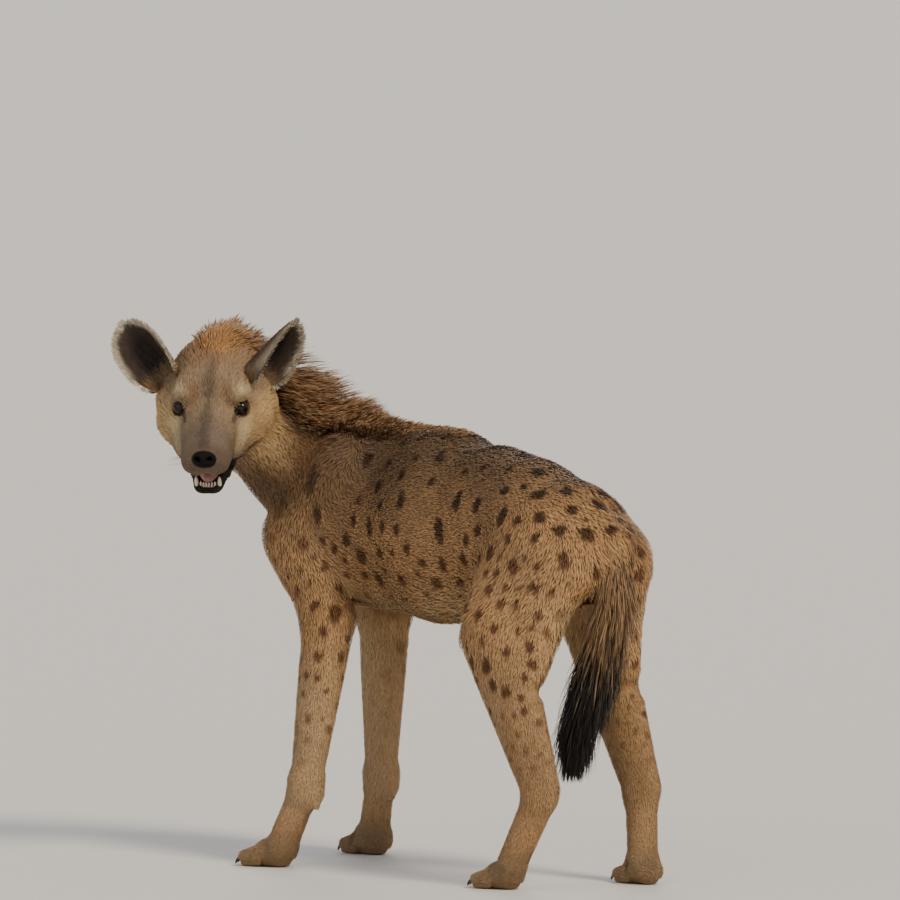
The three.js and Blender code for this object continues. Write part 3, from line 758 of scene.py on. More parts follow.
@dataclass(frozen=True)
class SearchBox:
    """Box that a piece of skin is looked for in, and the spacing of its grid, in millimetres."""

    low: Point
    high: Point
    cell: float


BODY_BOX = SearchBox((-160, -485, 50), (285, 505, 925), 4.5)
FACE_BOX = SearchBox((90, -485, 615), (440, -100, 960), 1.9)
PAW_BOX = SearchBox((-185, -420, -8), (215, 440, 82), 2.6)


def draw_surface(value: Callable[[Array], Array], box: SearchBox) -> tuple[Array, Array]:
    """Draws four-sided faces where a distance function crosses zero.

    Each grid cell that the surface passes through gets one point, the mean of the crossings on
    its edges, and each crossed edge gets one face joining the four cells round it.

    Args:
        value: Distance function, negative inside.
        box: Where it is searched, and how finely.

    Returns:
        Points, and rows of four point numbers, turned outwards.
    """
    start, cell = np.array(box.low, float), box.cell
    count = np.ceil((np.array(box.high) - start) / cell).astype(int) + 1
    grid = sample_grid(value, start, count, cell)
    sums = np.zeros((int(np.prod(count)), 3))
    hits = np.zeros(len(sums))
    faces = []
    for axis in range(3):
        before = [slice(None)] * 3
        after = [slice(None)] * 3
        before[axis], after[axis] = slice(0, -1), slice(1, None)
        a, b = grid[tuple(before)], grid[tuple(after)]
        u, v = (axis + 1) % 3, (axis + 2) % 3
        edges = np.argwhere((a < 0) != (b < 0))
        edges = edges[(edges[:, u] > 0) & (edges[:, v] > 0)]
        va, vb = a[tuple(edges.T)], b[tuple(edges.T)]
        place = edges.astype(float)
        place[:, axis] += va / (va - vb)
        corners = []
        for du, dv in ((0, 0), (1, 0), (1, 1), (0, 1)):
            cells = edges.copy()
            cells[:, u] -= du
            cells[:, v] -= dv
            ids = np.ravel_multi_index(tuple(cells.T), tuple(count))
            hits += np.bincount(ids, minlength=len(hits))
            for k in range(3):
                sums[:, k] += np.bincount(ids, weights=place[:, k], minlength=len(hits))
            corners.append(ids)
        quads = np.stack(corners, axis=1)
        faces.append(np.where((va < 0)[:, None], quads, quads[:, ::-1]))
    quads = np.concatenate(faces)
    used, quads = np.unique(quads, return_inverse=True)
    return start + cell * sums[used] / hits[used][:, None], quads.reshape(-1, 4)


@dataclass
class Hide:
    """A piece of skin: its points, faces and outward directions."""

    points: Array
    faces: Array
    normals: Array


def draw_hide(animal: Animal, box: SearchBox, keep: Callable[[Array], Array]) -> Hide:
    """Draws the skin inside a box and settles its points on the true surface.

    Args:
        animal: The flesh.
        box: Where it is drawn, and how finely.
        keep: Distance function that is negative where this piece of skin lies.

    Returns:
        The piece of skin.
    """

    def skin(points: Array) -> Array:
        """Distance from the skin, under the coat."""
        return animal.value(points) + coat_depth(points)

    points, faces = draw_surface(skin, box)
    for _ in range(2):
        normals, slope = animal.normal(points)
        move = np.clip(skin(points) / np.maximum(slope, 0.4), -box.cell * 0.5, box.cell * 0.5)
        points = points - normals * move[:, None]
    inside = np.all(keep(points)[faces] < 0, axis=1)
    used, faces = np.unique(faces[inside], return_inverse=True)
    points = points[used]
    return Hide(points, faces.reshape(-1, 4), animal.normal(points)[0])


# Markings


def ripple(points: Array, size: float, seed: int) -> Array:
    """Makes smooth noise: a sum of twelve sine waves in random directions, scaled down.

    Args:
        points: Rows of places in millimetres.
        size: Usual length of a wave in millimetres.
        seed: Choice of the waves.

    Returns:
        Values between about -1 and 1.
    """
    rng = np.random.default_rng(seed)
    waves = unit(rng.normal(size=(12, 3))) * rng.uniform(0.6, 1.7, (12, 1)) * 2 * np.pi / size
    return np.sin(points @ waves.T + rng.uniform(0, 2 * np.pi, 12)).sum(axis=1) / 4.2


SPOT_DENSITY = 0.006  # possible places of a spot for each square millimetre
SPOT_CHUNK = 20_000  # points compared with all spots at a time


@dataclass
class Spots:
    """Dark spots strewn over the skin, clear of one another."""

    middle: Array
    radius: Array
    stretch: Array

    @classmethod
    def strew(cls, places: Array, rng: np.random.Generator) -> "Spots":
        """Chooses spots one after another wherever there is room between those already chosen.

        Args:
            places: Possible places on the skin, in random order.
            rng: Source of random numbers.

        Returns:
            The spots. They are largest on the trunk, and longer than wide on the flank.
        """
        z = places[:, 2]
        size = (5.8 + 4.9 * smooth(z, 250, 430)) * rng.uniform(0.5, 1.35, len(places))
        flank = smooth(z, 540, 640) * smooth(places[:, 1], 260, 180)
        stretch = rng.uniform(1.0, 1.4, len(places)) + 0.9 * flank
        kept: list[int] = []
        for k in range(len(places)):
            gap = np.linalg.norm(places[kept] - places[k], axis=1)
            if np.all(gap > 4 + 1.22 * (size[kept] * stretch[kept] + size[k] * stretch[k])):
                kept.append(k)
        return cls(places[kept], size[kept], stretch[kept])

    def cover(self, points: Array) -> Array:
        """Tells how dark a spot is at each point.

        Each spot is a ball, drawn out upwards. Its edge is made uneven by noise.

        Args:
            points: Rows of places in millimetres.

        Returns:
            Values from 0, no spot, to 1, middle of a spot.
        """
        ragged = ripple(points, 26, 5) * 2.2 + ripple(points, 10, 6) * 1.3
        best = np.full(len(points), -1e3)
        for start in range(0, len(points), SPOT_CHUNK):
            some = points[start : start + SPOT_CHUNK]
            flat = some[:, None, :] - self.middle[None]
            rise = flat[:, :, 2] / self.stretch
            away = np.sqrt(flat[:, :, 0] ** 2 + flat[:, :, 1] ** 2 + rise**2)
            best[start : start + SPOT_CHUNK] = (self.radius - away).max(axis=1)
        return smooth(best + ragged, -2.6, 3.2)


def body_colour(points: Array, spots: Spots) -> Array:
    """Colour of the coat on the trunk, neck, legs and tail.

    Args:
        points: Rows of places in millimetres.
        spots: The dark spots.

    Returns:
        Rows of linear colour.
    """
    x, y, z = points.T
    cloud = ripple(points, 160, 1) * 0.5 + ripple(points, 55, 2) * 0.35
    colour = mix(TAN, GREY_TAN, 0.25 + 0.25 * cloud)
    # Darker saddle over the back and neck: partly the coat's own colour, partly painted shadow over the
    # upper body.
    back = smooth(z + 26 * cloud - 0.15 * y, 540, 715) * smooth(y, 440, 330)
    colour = mix(colour, BACK, 0.85 * back)
    under = smooth(z, 520, 455) * smooth(np.abs(x), 120, 60)
    colour = mix(colour, CREAM, 0.55 * under)
    leg = smooth(z, 430, 260)
    colour = mix(colour, GREY_TAN, 0.35 * leg)
    colour = mix(colour, CREAM, 0.3 * leg * smooth(y * np.sign(y + 30), 340, 300) * smooth(z, 60, 130))
    head = in_head(points)
    nape = smooth(head[:, 0], -330, -120) * smooth(-y, 150, 260)
    colour = mix(colour, mix(colour, MANE, 0.55), nape * smooth(z, 620, 720))
    strength = 0.92 * smooth(z, 120, 330) * smooth(z, 800, 740) * (1 - 0.6 * nape) * (1 - 0.8 * under)
    dark = mix(SPOT, SPOT_DARK, smooth(z, 540, 640))
    colour = mix(colour, dark, np.clip(strength, 0, 1) * spots.cover(points))
    paw = smooth(z, 90, 30)
    colour = mix(colour, PAW, 0.75 * paw)
    middle = np.abs(x - 12)
    tail = smooth(y, 432, 450) * smooth(z, 530, 440)
    tail = tail + smooth(y, 372, 384) * smooth(z, 430, 400) * smooth(z, 200, 240)
    return mix(colour, BRUSH, np.clip(tail * smooth(middle, 40, 30), 0, 1))


def mouth_height(ahead: Array, up: Array) -> Array:
    """Height on the head, measured square to the mouth, which runs down towards the nose."""
    return up + LIP_SLOPE * (ahead - 150)


def from_pad(folded: Array) -> Array:
    """Distance from the middle of the nose pad, in ovals of its own shape."""
    return np.linalg.norm((folded - np.array([262, 0, -49])) / np.array([1.2, 1.22, 0.95]), axis=1)


def from_eye(folded: Array) -> Array:
    """Distance from the middle of the bare rims of the eye."""
    return np.linalg.norm(folded - np.array([EYE.along + 4, EYE.apart + 2, EYE.up]), axis=1)


PAD_EDGE = 17.5  # edge of the bare nose pad, as from_pad() measures it
EYE_EDGE = 15.5  # edge of the fur round the eye, as from_eye() measures it
LIP_TOP, LIP_LOW = -79.0, -102.0  # bare lips and mouth, as mouth_height() measures them


def face_colour(points: Array) -> Array:
    """Colour of the coat on the head.

    Args:
        points: Rows of places in millimetres.

    Returns:
        Rows of linear colour.
    """
    a, s, u = in_head(points).T
    cloud = ripple(points, 46, 11) * 0.5 + ripple(points, 15, 12) * 0.3
    colour = mix(FACE, GREY_TAN, 0.4 + 0.4 * cloud)
    colour = colour * (1 + 0.07 * ripple(points, 8, 14))[:, None]
    cheek = smooth(np.abs(s), 40, 62) * smooth(u + 10 * cloud, 5, -25) * smooth(a, 170, 120)
    colour = mix(colour, CHEEK, 0.85 * cheek)
    colour = mix(colour, MANE, 0.5 * smooth(u, 28, 52) * smooth(a, 110, 60))
    colour = mix(colour, CREAM, 0.3 * smooth(u, -95, -112) * smooth(a, 160, 110))
    folded = np.stack([a, np.abs(s), u], axis=1)
    colour = mix(colour, MUZZLE, 0.62 * smooth(a + 9 * cloud, 148, 232))
    streaks = ripple(points, 10, 13)
    # Dark stripe down the middle of the face: partly the coat's own colour, partly painted shadow.
    middle = smooth(np.abs(s) + 7 * cloud + 3 * streaks, 15, 1) * smooth(a, 40, 100) * smooth(u, -44, -14)
    colour = mix(colour, MUZZLE_DARK, 0.5 * middle)
    inner = np.linalg.norm((folded - np.array([124, 27, 16])) / np.array([1.5, 0.8, 1]), axis=1)
    colour = mix(colour, RUSSET, 0.6 * smooth(inner + 5 * cloud, 21, 6))
    brow = np.linalg.norm((folded - np.array([120, 52, 15])) / np.array([1.4, 1.15, 0.95]), axis=1)
    colour = mix(colour, PALE, 0.6 * smooth(brow + 4 * cloud + 2 * streaks, 20, 6))
    # Pale streak from under the eye along the muzzle's side: a painted highlight of its lit edge.
    under = capsule(folded, (142, 60, -34), (188, 42, -66), 0.5)
    colour = mix(colour, PALE, 0.42 * smooth(under + 5 * cloud + 2 * streaks, 20, 4))
    colour = mix(colour, LIP, 0.95 * smooth(from_eye(folded) + 1.5 * cloud, 18.5, 14.5))
    tear = capsule(folded, (146, 45, -14), (168, 38, -26), 0.5)
    colour = mix(colour, MUZZLE_DARK, 0.7 * smooth(tear + 2 * cloud, 7, 2))
    slope = mouth_height(a, u)
    lips = smooth(slope, -72, -79) * smooth(slope, -116, -108) * smooth(a + 6 * cloud, 112, 146)
    colour = mix(colour, LIP, 0.94 * lips)
    chin = smooth(slope, -96, -104) * smooth(a, 170, 205)
    colour = mix(colour, MUZZLE_DARK, 0.6 * chin)
    return mix(colour, LIP, smooth(from_pad(folded), PAD_EDGE + 1, PAD_EDGE - 1))


def markings(points: Array, spots: Spots) -> Array:
    """Colour of the coat anywhere on the animal."""
    return mix(body_colour(points, spots), face_colour(points), smooth(-head_space(points), -30, 26))


# Hair


@dataclass(frozen=True)
class Hair:
    """Length and width of the tufts in millimetres, and how many layers lie over one another."""

    length: Callable[[Array], Array]
    slim: float = 0.1  # width gained with each millimetre of length
    layers: float = 3.6


def coat_length(points: Array) -> Array:
    """Tells the length of the tufts: longest on the trunk and neck, smallest on the face and paws.

    Args:
        points: Rows of places in millimetres.

    Returns:
        One length for each row.
    """
    head = in_head(points)
    face = smooth(-head_space(points), -30, 70)
    body = 5.5 + 3 * smooth(points[:, 2], 40, 150) + 5.5 * smooth(points[:, 2], 200, 520)
    muzzle = 10.5 - 6.6 * smooth(head[:, 0], 120, 225)
    return body * (1 - face) + muzzle * face


def triangles(faces: Array) -> Array:
    """Splits four-sided faces into triangles."""
    return np.concatenate([faces[:, [0, 1, 2]], faces[:, [0, 2, 3]]])


def scatter(hide: Hide, density: Callable[[Array], Array], rng: np.random.Generator) -> tuple[Array, Array]:
    """Strews points over a skin.

    Args:
        hide: The skin.
        density: Number of points for each square millimetre, from places.
        rng: Source of random numbers.

    Returns:
        Places and outward directions.
    """
    tris = triangles(hide.faces)
    a, b, c = (hide.points[tris[:, k]] for k in range(3))
    area = np.linalg.norm(np.cross(b - a, c - a), axis=1) / 2
    wanted = area * density((a + b + c) / 3)
    number = np.floor(wanted + rng.random(len(wanted))).astype(int)
    pick = np.repeat(np.arange(len(tris)), number)
    r = rng.random((len(pick), 2))
    root = np.sqrt(r[:, :1])
    weights = np.concatenate([1 - root, root * (1 - r[:, 1:]), root * r[:, 1:]], axis=1)
    places = sum(hide.points[tris[pick, k]] * weights[:, k : k + 1] for k in range(3))
    normals = sum(hide.normals[tris[pick, k]] * weights[:, k : k + 1] for k in range(3))
    return places, unit(normals)


@dataclass
class Tufts:
    """Many tufts as rows: where each is rooted, its middle, its tip, its width and its colour."""

    root: Array
    middle: Array
    tip: Array
    across: Array
    outward: Array
    colour: Array

    @classmethod
    def merge(cls, parts: Sequence["Tufts"]) -> "Tufts":
        """Puts several lots of tufts one after another."""
        names = cls.__dataclass_fields__
        return cls(*(np.concatenate([getattr(part, name) for part in parts]) for name in names))

    def take(self, rows: Array) -> "Tufts":
        """Picks some of the tufts."""
        return Tufts(*(getattr(self, name)[rows] for name in self.__dataclass_fields__))

    def blades(self) -> tuple[Array, Array, Array]:
        """Turns short tufts into ridged blades of seven points.

        A blade has three points at its root and three at its middle, the central one raised, and
        one at its tip.

        Returns:
            Points, triangles and colours.
        """
        wide = np.linalg.norm(self.across, axis=1, keepdims=True)
        ridge = self.outward * wide * 0.3
        rows = [
            self.root - self.across * 0.8,
            self.root + ridge * 0.8,
            self.root + self.across * 0.8,
            self.middle - self.across,
            self.middle + ridge,
            self.middle + self.across,
            self.tip,
        ]
        faces = np.array([[0, 1, 4], [0, 4, 3], [1, 2, 5], [1, 5, 4], [3, 4, 6], [4, 5, 6]])
        # Painted shading along each blade: darker at the root, where the coat shades itself, lighter at the
        # tip.
        return self.stack(rows, faces, (0.8, 0.8, 0.8, 0.97, 1.0, 0.97, 1.08))

    def locks(self) -> tuple[Array, Array, Array]:
        """Turns long tufts into closed, three-sided locks that bend.

        Returns:
            Points, triangles and colours.
        """
        wide = np.linalg.norm(self.across, axis=1, keepdims=True)
        thick = self.outward * wide * 0.42
        rows = []
        for t, size in ((0.0, 0.55), (0.34, 1.0), (0.7, 0.8)):
            centre = (1 - t) ** 2 * self.root + 2 * t * (1 - t) * self.middle + t * t * self.tip
            rows += [centre - self.across * size, centre + thick * size, centre + self.across * size]
        rows.append(self.tip)
        faces = []
        for ring in (0, 3):
            for k in range(3):
                a, b = ring + k, ring + (k + 1) % 3
                faces += [[a, b, b + 3], [a, b + 3, a + 3]]
        faces += [[6, 7, 9], [7, 8, 9], [8, 6, 9], [0, 2, 1]]
        # Painted shading along each lock: darker at the root, where the coat shades itself, lighter at the
        # tip.
        return self.stack(rows, np.array(faces), (0.55,) * 3 + (0.9,) * 3 + (1.05,) * 3 + (1.2,))

    def stack(
        self, rows: Sequence[Array], faces: Array, shades: Sequence[float]
    ) -> tuple[Array, Array, Array]:
        """Joins the tufts into one list of points and triangles.

        Args:
            rows: One array of places for each point of a tuft.
            faces: Triangles of one tuft.
            shades: Brightness of the hair at each point of a tuft, painted shading that is darker at the
                root, where the coat shades itself, and lighter at the tip.

        Returns:
            Points, triangles and colours.
        """
        count, size = len(self.root), len(rows)
        points = np.stack(rows, axis=1).reshape(-1, 3)
        shift = np.arange(count)[:, None, None] * size
        colours = self.colour[:, None, :] * np.array(shades)[None, :, None]
        return points, (faces + shift).reshape(-1, 3), colours.reshape(-1, 3)


def along_skin(lie: Array, outward: Array) -> Array:
    """Lays directions flat on the skin, whose outward directions are given."""
    return unit(lie - outward * np.sum(lie * outward, axis=1, keepdims=True))


def vary(rng: np.random.Generator, spread: float, count: int) -> Array:
    """Brightness of each tuft, around 1: e to the power of a normal random number."""
    return np.exp(rng.normal(0, spread, (count, 1)))


TIP_FLOOR = 0.6  # no tip hangs lower than this over the floor
SOLE_TOP = 12.0  # below this height tufts grow only where the skin faces sideways or up


def grow_tufts(animal: Animal, hide: Hide, hair: Hair, spots: Spots, rng: np.random.Generator) -> Tufts:
    """Grows short tufts that lie along the coat.

    Args:
        animal: The flesh, which gives the lie.
        hide: Skin that the tufts grow from.
        hair: Their size.
        spots: The dark spots.
        rng: Source of random numbers.

    Returns:
        The tufts.
    """

    def density(points: Array) -> Array:
        """Tufts for each square millimetre."""
        length = hair.length(points)
        return hair.layers / (length * (0.5 + length * hair.slim) * 1.6)

    root, outward = scatter(hide, density, rng)
    above = (root[:, 2] > SOLE_TOP) | (outward[:, 2] > -0.1)
    root, outward = root[above], outward[above]
    lie = animal.flesh.lie(root)
    sway = 0.09 * np.stack([ripple(root, 90, 31 + k) for k in range(3)], axis=1)
    lie = lie + sway + rng.normal(0, 0.13, root.shape)
    lie = along_skin(lie, outward)
    clump = 1 + 0.12 * ripple(root, 24, 41)
    length = hair.length(root) * clump * rng.uniform(0.75, 1.25, len(root))
    depth = np.maximum(coat_depth(root), 0.9) * clump * rng.uniform(0.75, 1.15, len(root))
    half = (0.5 + length * hair.slim) * rng.uniform(0.35, 0.6, len(root))
    across = unit(np.cross(lie, outward))
    middle = root + lie * (length * 0.5)[:, None] + outward * (depth * 0.56)[:, None]
    tip = root + lie * length[:, None] + outward * (depth * 0.74)[:, None]
    tip[:, 2] = np.maximum(tip[:, 2], TIP_FLOOR)
    shade = vary(rng, 0.085, len(root))
    colour = markings(root + lie * (length * 0.3)[:, None], spots) * shade
    return Tufts(root - outward * 0.8, middle, tip, across * half[:, None], outward, colour)


# Making objects


@dataclass(frozen=True)
class Patchwork:
    """An unwrap of a region: round its axis and along it."""

    start: Point
    end: Point

    def places(self, points: Array) -> Array:
        """Turns places into map places between 0 and 1.

        The first number is the angle round the axis and the second the distance along it.

        Args:
            points: Rows of places in millimetres.

        Returns:
            Rows of two numbers.
        """
        axis = unit(np.subtract(self.end, self.start))
        side = unit(np.cross(axis, [0.31, 0.2, 0.93]))
        other = np.cross(axis, side)
        offset = points - np.array(self.start)
        angle = np.arctan2(offset @ side, offset @ other) / (2 * np.pi) + 0.5
        along = (offset @ axis) / np.linalg.norm(np.subtract(self.end, self.start))
        return 0.01 + 0.98 * np.clip(np.stack([angle, along], axis=1), 0, 1)


@dataclass
class Kit:
    """Makes mesh objects in the shared frame."""

    collection: bpy.types.Collection

    def make(
        self, name: str, points: Array, faces: Array, material: bpy.types.Material, slot: str
    ) -> bpy.types.Object:
        """Makes one object from points in the animal's frame.

        Args:
            name: Name of the piece.
            points: Rows of places in millimetres.
            faces: Rows of three or four point numbers.
            material: Its finish.
            slot: Material slot of the record; not used.

        Returns:
            The object, riding on the root body.
        """
        mesh = bpy.data.meshes.new(name)
        count, sides = faces.shape
        mesh.vertices.add(len(points))
        mesh.vertices.foreach_set("co", ((points - ORIGIN) * MM).astype(np.float32).ravel())
        mesh.loops.add(count * sides)
        mesh.loops.foreach_set("vertex_index", faces.astype(np.int32).ravel())
        mesh.polygons.add(count)
        mesh.polygons.foreach_set("loop_start", np.arange(0, count * sides, sides, dtype=np.int32))
        mesh.polygons.foreach_set("use_smooth", np.ones(count, bool))
        mesh.update(calc_edges=True)
        mesh.materials.append(material)
        thing = bpy.data.objects.new(name, mesh)
        self.collection.objects.link(thing)
        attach(thing, "root")
        log.info("%s: %d points, %d faces", name, len(points), count)
        return thing

    @staticmethod
    def paint(thing: bpy.types.Object, colours: Array) -> None:
        """Stores a linear colour for each point under the name Coat.

        Args:
            thing: The piece.
            colours: Rows of linear colour, one for each point.
        """
        store = thing.data.color_attributes.new("Coat", "FLOAT_COLOR", "POINT")
        rows = np.concatenate([np.clip(colours, 0, 1), np.ones((len(colours), 1))], axis=1)
        store.data.foreach_set("color", rows.astype(np.float32).ravel())

    @staticmethod
    def unwrap(thing: bpy.types.Object, roots: Array, faces: Array, size: int) -> None:
        """Gives each tuft a small patch of the map, at its root's place.

        Args:
            thing: The coat piece.
            roots: Map place of each tuft's root.
            faces: Triangles of the piece.
            size: Number of points of a tuft.
        """
        turn = np.arange(size) / size * 2 * np.pi
        ring = PATCH * np.stack([np.cos(turn), np.sin(turn)], axis=1)
        places = (roots[:, None, :] + ring[None]).reshape(-1, 2)
        layer = thing.data.uv_layers.new(name="OFBake")
        layer.data.foreach_set("uv", places[faces.ravel()].astype(np.float32).ravel())


PATCH = 0.0015  # radius of a tuft's patch on the map, whose side is 1
TUFT_LIMIT = 30_000  # blades of six faces in a piece, under 200,000 faces
LOCK_LIMIT = 12_000  # locks of sixteen triangles in a piece


def add_coat(
    kit: Kit,
    name: str,
    tufts: Tufts,
    long: bool,
    patchwork: Patchwork,
    material: bpy.types.Material,
    slot: str,
) -> None:
    """Adds tufts as one or more coat pieces.

    Args:
        kit: Maker of objects.
        name: Name of the pieces, which get a number when there are several.
        tufts: The tufts.
        long: Whether they are long locks rather than short blades.
        patchwork: Unwrap of the region.
        material: Their finish.
        slot: Material slot of the record, handed on to Kit.make, which does not use it.
    """
    limit = LOCK_LIMIT if long else TUFT_LIMIT
    total = len(tufts.root)
    parts = max(1, math.ceil(total / limit))
    order = np.argsort(patchwork.places(tufts.root)[:, 1], kind="stable")
    for number, rows in enumerate(np.array_split(order, parts)):
        some = tufts.take(rows)
        points, faces, colours = some.locks() if long else some.blades()
        thing = kit.make(name if parts == 1 else f"{name}_{number + 1}", points, faces, material, slot)
        kit.paint(thing, colours)
        kit.unwrap(thing, patchwork.places(some.root), faces, len(points) // len(rows))


# Finishes


@dataclass(frozen=True)
class Finish:
    """Settings of a surface."""

    name: str
    roughness: float  # 0 is a mirror, 1 is chalk
    specular: float = 0.35  # strength of the plain reflection
    coat: float = 0.0  # strength of a clear film over it
    colour: str | None = None  # sRGB hex; without one the stored markings colour it
    bump_mm: float = 0.0  # depth of its grain
    bump_size_mm: float = 1.0  # width of its grain
    subsurface: float = 0.0  # how much light passes into it and out again

    def build(self) -> bpy.types.Material:
        """Makes the Blender material.

        Returns:
            The material, coloured by the Coat attribute unless it has a colour of its own.
        """
        material = bpy.data.materials.new(self.name)
        material.use_nodes = True
        tree = material.node_tree
        shader = tree.nodes["Principled BSDF"]
        values = {
            "Roughness": self.roughness,
            "Specular IOR Level": self.specular,
            "Coat Weight": self.coat,
            "Coat Roughness": 0.04,
            "Subsurface Weight": self.subsurface,
            "Subsurface Scale": 0.004,
        }
        for name, value in values.items():
            shader.inputs[name].default_value = value
        if self.colour:
            shader.inputs["Base Color"].default_value = (*linear(self.colour), 1.0)
        else:
            paint = add_node(tree, "ShaderNodeVertexColor", {"layer_name": "Coat"}, {})
            tree.links.new(paint.outputs["Color"], shader.inputs["Base Color"])
        if self.bump_mm:
            place = add_node(tree, "ShaderNodeTexCoord", {}, {})
            noise = add_node(
                tree,
                "ShaderNodeTexNoise",
                {},
                {"Scale": 1000 / self.bump_size_mm, "Detail": 3.0, "Vector": place.outputs["Object"]},
            )
            bump = add_node(
                tree,
                "ShaderNodeBump",
                {},
                {"Strength": 1.0, "Distance": self.bump_mm * MM, "Height": noise.outputs["Fac"]},
            )
            tree.links.new(bump.outputs["Normal"], shader.inputs["Normal"])
        return material


def add_node(tree: bpy.types.NodeTree, kind: str, settings: dict, inputs: dict) -> bpy.types.Node:
    """Adds a node with its settings and links.

    Args:
        tree: Node tree it goes into.
        kind: Blender's name of the node type.
        settings: Properties of the node.
        inputs: Values, or output sockets to link, by input name.

    Returns:
        The node.
    """
    node = tree.nodes.new(kind)
    for name, value in settings.items():
        setattr(node, name, value)
    for name, value in inputs.items():
        if isinstance(value, bpy.types.NodeSocket):
            tree.links.new(value, node.inputs[name])
        else:
            node.inputs[name].default_value = value
    return node


class Finishes(Enum):
    """The model's finishes."""

    # Hide with the woolly roots of the coat, and the bare, leathery skin of nose pad and lips. Its
    # grain of 2.2 mm breaks up the light, so that it looks deep and dull between the tufts.
    SKIN = Finish("short_fur_ground", 0.85, specular=0.12, bump_mm=0.5, bump_size_mm=2.2)
    # Guard hairs of the short coat, in tufts of 4 to 14 mm. Dry keratin with a weak, soft shine
    # along each tuft, so that the coat reads as fur and not as felt.
    FUR = Finish("coat_hair", 0.62, specular=0.22)
    # Long, coarse hair of the mane and the tail. Thicker and smoother, so its locks glint more.
    MANE_HAIR = Finish("coarse_hair", 0.5, specular=0.3)
    # Cornea under a film of tears. Nearly a mirror, so that the lights show as small, sharp points.
    EYE = Finish("wet_eye", 0.05, specular=0.3)
    # Horn of the claws, worn on the ground. Fine scratches 1.5 mm apart under a dull polish.
    CLAW = Finish("horn_claw", 0.38, specular=0.45, colour="#231B16", bump_mm=0.05, bump_size_mm=1.5)
    # Enamel, yellowed and wet. Glossy with a clear film, and a little light passes through it.
    TOOTH = Finish("tooth_enamel", 0.25, specular=0.5, coat=0.3, colour="#D9CDAF", subsurface=0.2)
    # Tongue, moist flesh with buds 1.6 mm apart. Light goes in and comes out again soft and pink.
    TONGUE = Finish(
        "moist_tongue",
        0.35,
        specular=0.5,
        colour="#C98F86",
        bump_mm=0.3,
        bump_size_mm=1.6,
        subsurface=0.3,
    )
    # Whiskers, stiff smooth hairs. Near-black with a thin glint.
    WHISKER = Finish("whisker", 0.4, specular=0.4, colour="#1B1614")


# Ears


@dataclass(frozen=True)
class Ear:
    """A rounded, cupped ear standing on the head."""

    name: str
    base: Point
    lean: Point
    facing: Point
    length: float = 114.0
    half_width: float = 40.0
    wall: float = 4.2

    def axes(self) -> tuple[Array, Array, Array]:
        """Finds the ear's own directions.

        Returns:
            Up the ear, across it and out of its cup.
        """
        up = unit(np.array(self.lean) @ HEAD_AXES)
        facing = np.array(self.facing) @ HEAD_AXES
        across = unit(np.cross(up, facing))
        return up, across, np.cross(across, up)

    def sheet(self, t: Array, turn: Array, wall: float) -> Array:
        """Places points of the cup.

        Each level is an arc of a circle as wide as the ear there, which opens towards the tip.

        Args:
            t: Fraction of the way up.
            turn: From -1 to 1 round the arc.
            wall: Thickness left off on the inside.

        Returns:
            Rows of places in millimetres.
        """
        widest = 0.54
        rise = np.where(t < widest, (widest - t) / 0.8, (t - widest) / 0.46)
        width = self.half_width * np.sqrt(np.maximum(1 - np.abs(rise) ** 2.2, 0.02))
        opening = np.radians(116 + (48 - 116) * t)
        radius = width / np.sin(np.minimum(np.pi / 2, opening))
        reach = np.maximum(radius - wall, 0.5)
        up, across, front = self.axes()
        angle = turn * opening
        base = np.array(on_head(*self.base))
        side = (reach * np.sin(angle))[:, None] * across
        forward = (radius - reach * np.cos(angle))[:, None] * front
        return base + up * (t * self.length)[:, None] + side + forward

    def shell(self) -> tuple[Hide, Array]:
        """Draws the closed ear: back, inside and rim.

        Returns:
            The surface, and for each point how far it is inside the cup, from 0 to 1.
        """
        levels, around = 44, 33
        t = np.repeat(-0.08 + 1.08 * np.linspace(0, 1, levels) ** 0.8, around)
        turn = np.tile(np.linspace(-1, 1, around), levels)
        thin = self.wall * (0.5 + 0.5 * np.sqrt(np.maximum(1 - np.maximum(np.abs(turn), t) ** 6, 0)))
        back = self.sheet(t, turn, 0.0)
        front = self.sheet_inside(t, turn, thin)
        count = levels * around
        index = np.arange(count).reshape(levels, around)
        a, b, c, d = index[:-1, :-1], index[:-1, 1:], index[1:, 1:], index[1:, :-1]
        outer = np.stack([a, b, c, d], axis=-1).reshape(-1, 4)
        inner = np.stack([a, d, c, b], axis=-1).reshape(-1, 4) + count
        rim = np.concatenate([index[:, -1], index[-1, -2::-1], index[-2::-1, 0], index[0, 1:-1]])
        after = np.roll(rim, -1)
        band = np.stack([rim + count, after + count, after, rim], axis=1)
        faces = np.concatenate([outer, inner, band])
        points = np.concatenate([back, front])
        normals = corner_normals(points, faces)
        if np.mean(normals[:count] @ self.axes()[2]) > 0:
            faces, normals = faces[:, ::-1], -normals
        return Hide(points, faces, normals), np.repeat([0.0, 1.0], count)

    def sheet_inside(self, t: Array, turn: Array, wall: Array) -> Array:
        """Places points of the inner side of the cup, square to its back.

        Args:
            t: Fraction of the way up.
            turn: From -1 to 1 round the arc.
            wall: Thickness at each point.

        Returns:
            Rows of places in millimetres.
        """
        outer = self.sheet(t, turn, 0.0)
        step = self.sheet(t, turn * 0.999, 1.0) - self.sheet(t, turn * 0.999, 0.0)
        return outer + unit(step) * wall[:, None]


